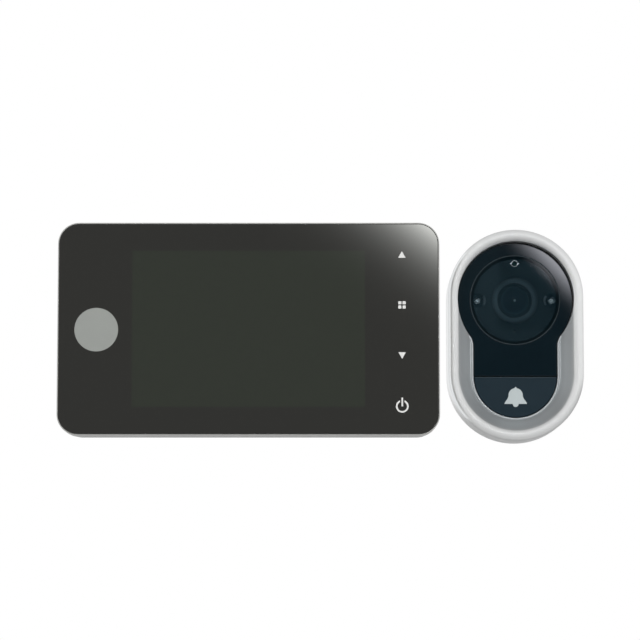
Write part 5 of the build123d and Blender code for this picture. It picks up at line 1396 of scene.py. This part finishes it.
def card(name, y_mm, across_mm, up_mm, colour, gain=None, corner_mm=(0.0, 0.0), way=(1.0, 0.0), reach_mm=1.0,
         power=1.0):
    """A flat card between two edges across and two upwards, that only shows in reflections. What its
    light gains in the bright corner falls off along a straight way."""
    (left, right), (low, high) = across_mm, up_mm
    mesh = bmesh.new()
    bmesh.ops.create_grid(mesh, x_segments=2, y_segments=2, size=0.5)
    mesh.transform(Matrix.Translation(((left + right) / 2 * MM, y_mm * MM, (low + high) / 2 * MM))
                   @ Matrix.Diagonal(((right - left) * MM, 1.0, (high - low) * MM, 1.0))
                   @ Matrix.Rotation(QUARTER, 4, "X"))
    made = placed(name, mesh)
    material, tree, shader = started(name + "_paper")
    light = (*colour, 1.0)
    if gain:
        place = add(tree, "ShaderNodeTexCoord").outputs["Object"]
        step = Vector((way[0], 0.0, way[1])).normalized()
        end = corner_mm[0] * step.x + corner_mm[1] * step.z
        along = add(tree, "ShaderNodeVectorMath", {0: place, 1: step}, operation="DOT_PRODUCT")
        share = add(tree, "ShaderNodeMapRange", {
            "Value": along.outputs["Value"], "From Min": (end - reach_mm) * MM, "From Max": end * MM,
        })
        shaped = add(tree, "ShaderNodeMath", {0: share.outputs["Result"], 1: power}, operation="POWER")
        spread = add(tree, "ShaderNodeVectorMath", {0: gain, "Scale": shaped.outputs[0]}, operation="SCALE")
        total = add(tree, "ShaderNodeVectorMath", {0: spread.outputs["Vector"], 1: colour}, operation="ADD")
        light = total.outputs["Vector"]
    fill_sockets(tree, shader, {
        "Base Color": BLACK, "Specular IOR Level": 0.0, "Emission Color": light, "Emission Strength": 1.0,
    })
    made.data.materials.append(material)
    for ray in ("camera", "diffuse", "shadow"):
        setattr(made, "visible_" + ray, False)
    return made


class Stage(bpy.types.Operator):
    """Floor, soft lamps, white surround, reflection cards and the camera at the photograph's angle"""

    bl_idname = "door_camera.stage"
    bl_label = "Stage and camera"

    def execute(self, context):
        scene = context.scene
        light = looks("studio_light")
        scene.view_settings.view_transform = "Standard"
        self.floor()
        self.surround(scene, light.fill)
        for name, (place, share) in LAMPS.items():
            lamp(name, place, light.key * share)
        self.cards(light.gleam)
        self.gap_card()
        self.camera(scene)
        return {"FINISHED"}

    def floor(self):
        """White paper floor under the object."""
        mesh = bmesh.new()
        bmesh.ops.create_grid(mesh, x_segments=8, y_segments=8, size=FLOOR_HALF)
        floor = placed("studio_floor", mesh)
        floor.location.z = FLOOR_HEIGHT
        material, tree, shader = started("studio_paper_white")
        seen = add(tree, "ShaderNodeLightPath").outputs["Is Camera Ray"]
        lift = add(tree, "ShaderNodeMath", {0: seen, 1: FLOOR_LIFT}, operation="MULTIPLY")
        fill_sockets(tree, shader, {
            "Base Color": FLOOR_PAPER, "Roughness": 0.9, "Emission Color": WHITE,
            "Emission Strength": lift.outputs[0],
        })
        floor.data.materials.append(material)

    def surround(self, scene, fill):
        """White to the camera, brighter at the sides than above in mirrors, and a soft fill for the rest."""
        world = bpy.data.worlds.new("studio_surround")
        world.use_nodes = True
        scene.world = world
        tree = world.node_tree
        path = add(tree, "ShaderNodeLightPath").outputs
        toward = add(tree, "ShaderNodeTexCoord").outputs["Generated"]
        height = add(tree, "ShaderNodeSeparateXYZ", {"Vector": toward}).outputs["Z"]
        mirror = add(tree, "ShaderNodeMapRange", {
            "Value": height, "To Min": SIDES_IN_MIRROR, "To Max": TOP_IN_MIRROR,
        })
        mirrored = add(tree, "ShaderNodeMath", {
            0: path["Is Glossy Ray"], 1: path["Is Transmission Ray"],
        }, operation="MAXIMUM")
        unseen = add(tree, "ShaderNodeMapRange", {
            "Value": mirrored.outputs[0], "To Min": fill, "To Max": mirror.outputs["Result"],
        })
        level = add(tree, "ShaderNodeMapRange", {
            "Value": path["Is Camera Ray"], "To Min": unseen.outputs["Result"], "To Max": 1.0,
        })
        fill_sockets(tree, tree.nodes["Background"], {"Color": WHITE, "Strength": level.outputs["Result"]})

    def cards(self, gleam):
        """Grey before the monitor's glass and dark before the lens plate, each with a bright corner."""
        warm = [part * gleam for part in GLASS_GLEAM]
        cool = [part * gleam for part in PLATE_GLEAM]
        card("monitor_card", CARD_Y_MM, (-275.0, 18.5), (5.0, 185.0), GREY_CARD)
        card("monitor_gleam", GLEAM_Y_MM, (-110.0, 18.5), (60.0, 185.0), GREY_CARD, gain=warm,
             corner_mm=(14.0, 170.0), way=(0.605, 0.796), reach_mm=200.0, power=14.0)
        card("lens_plate_flag", CARD_Y_MM, (24.0, 119.0), (20.0, 166.0), DARK_CARD, gain=DARK_CARD_GAIN,
             corner_mm=(0.0, 166.0), way=(0.0, 1.0), reach_mm=146.0)
        card("lens_plate_gleam", GLEAM_Y_MM, (60.0, 119.0), (95.0, 166.0), DARK_CARD, gain=cool,
             corner_mm=(101.3, 145.7), way=(0.72, 0.69), reach_mm=17.0, power=2.0)

    def gap_card(self):
        """Pale card that stands in the gap between the two units and only shows in their side walls."""
        gap = (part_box("monitor_frame")[1].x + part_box("camera_housing")[0].x) / 2
        made = card("gap_card", 0.0, (-9.0, 9.0), (-52.0, 27.0), GAP_CARD)
        made.matrix_world = Matrix.Translation((gap, -10.0 * MM, 0.0)) @ Matrix.Rotation(QUARTER, 4, "Z")

    def camera(self, scene):
        """The camera at the photograph's place, tilt and focal length."""
        data = bpy.data.cameras.new("photo_camera")
        data.lens = CAMERA_LENS_MM
        data.sensor_width = SENSOR_MM
        camera = bpy.data.objects.new("photo_camera", data)
        camera.location = CAMERA_PLACE
        camera.rotation_euler = (math.radians(CAMERA_TILT_DEG), 0.0, 0.0)
        scene.collection.objects.link(camera)
        scene.camera = camera


OPERATORS = (
    ShellPieces, FrontPieces, LensPieces, CameraInsidePieces, BarrelPieces, GlassPieces, PicturePieces,
    BoardPieces, CasePieces, BatteryPieces, BracketPieces, Stage,
)


class DoorCameraPanel(bpy.types.Panel):
    """Steps that dress the door camera, in order"""

    bl_idname = "VIEW3D_PT_door_camera"
    bl_label = "Door camera"
    bl_space_type = "VIEW_3D"
    bl_region_type = "UI"
    bl_category = "Door Camera"

    def draw(self, context):
        for group in GROUPS:
            values = getattr(context.scene, group)
            box = self.layout.box()
            for name in values.__annotations__:
                box.prop(values, name)
        for operator in OPERATORS:
            self.layout.operator(operator.bl_idname)


CLASSES = (*GROUPS.values(), *OPERATORS, DoorCameraPanel)


def register():
    """Make the classes and the scene's values known."""
    for made in CLASSES:
        bpy.utils.register_class(made)
    for name, group in GROUPS.items():
        setattr(bpy.types.Scene, name, bpy.props.PointerProperty(type=group))


def unregister():
    """Take the scene's values and the classes away."""
    for name in GROUPS:
        delattr(bpy.types.Scene, name)
    for made in reversed(CLASSES):
        bpy.utils.unregister_class(made)


def main():
    """Dress every part and set the stage."""
    register()
    for operator in OPERATORS:
        group, name = operator.bl_idname.split(".")
        getattr(getattr(bpy.ops, group), name)()


if __name__ == "__main__":
    main()
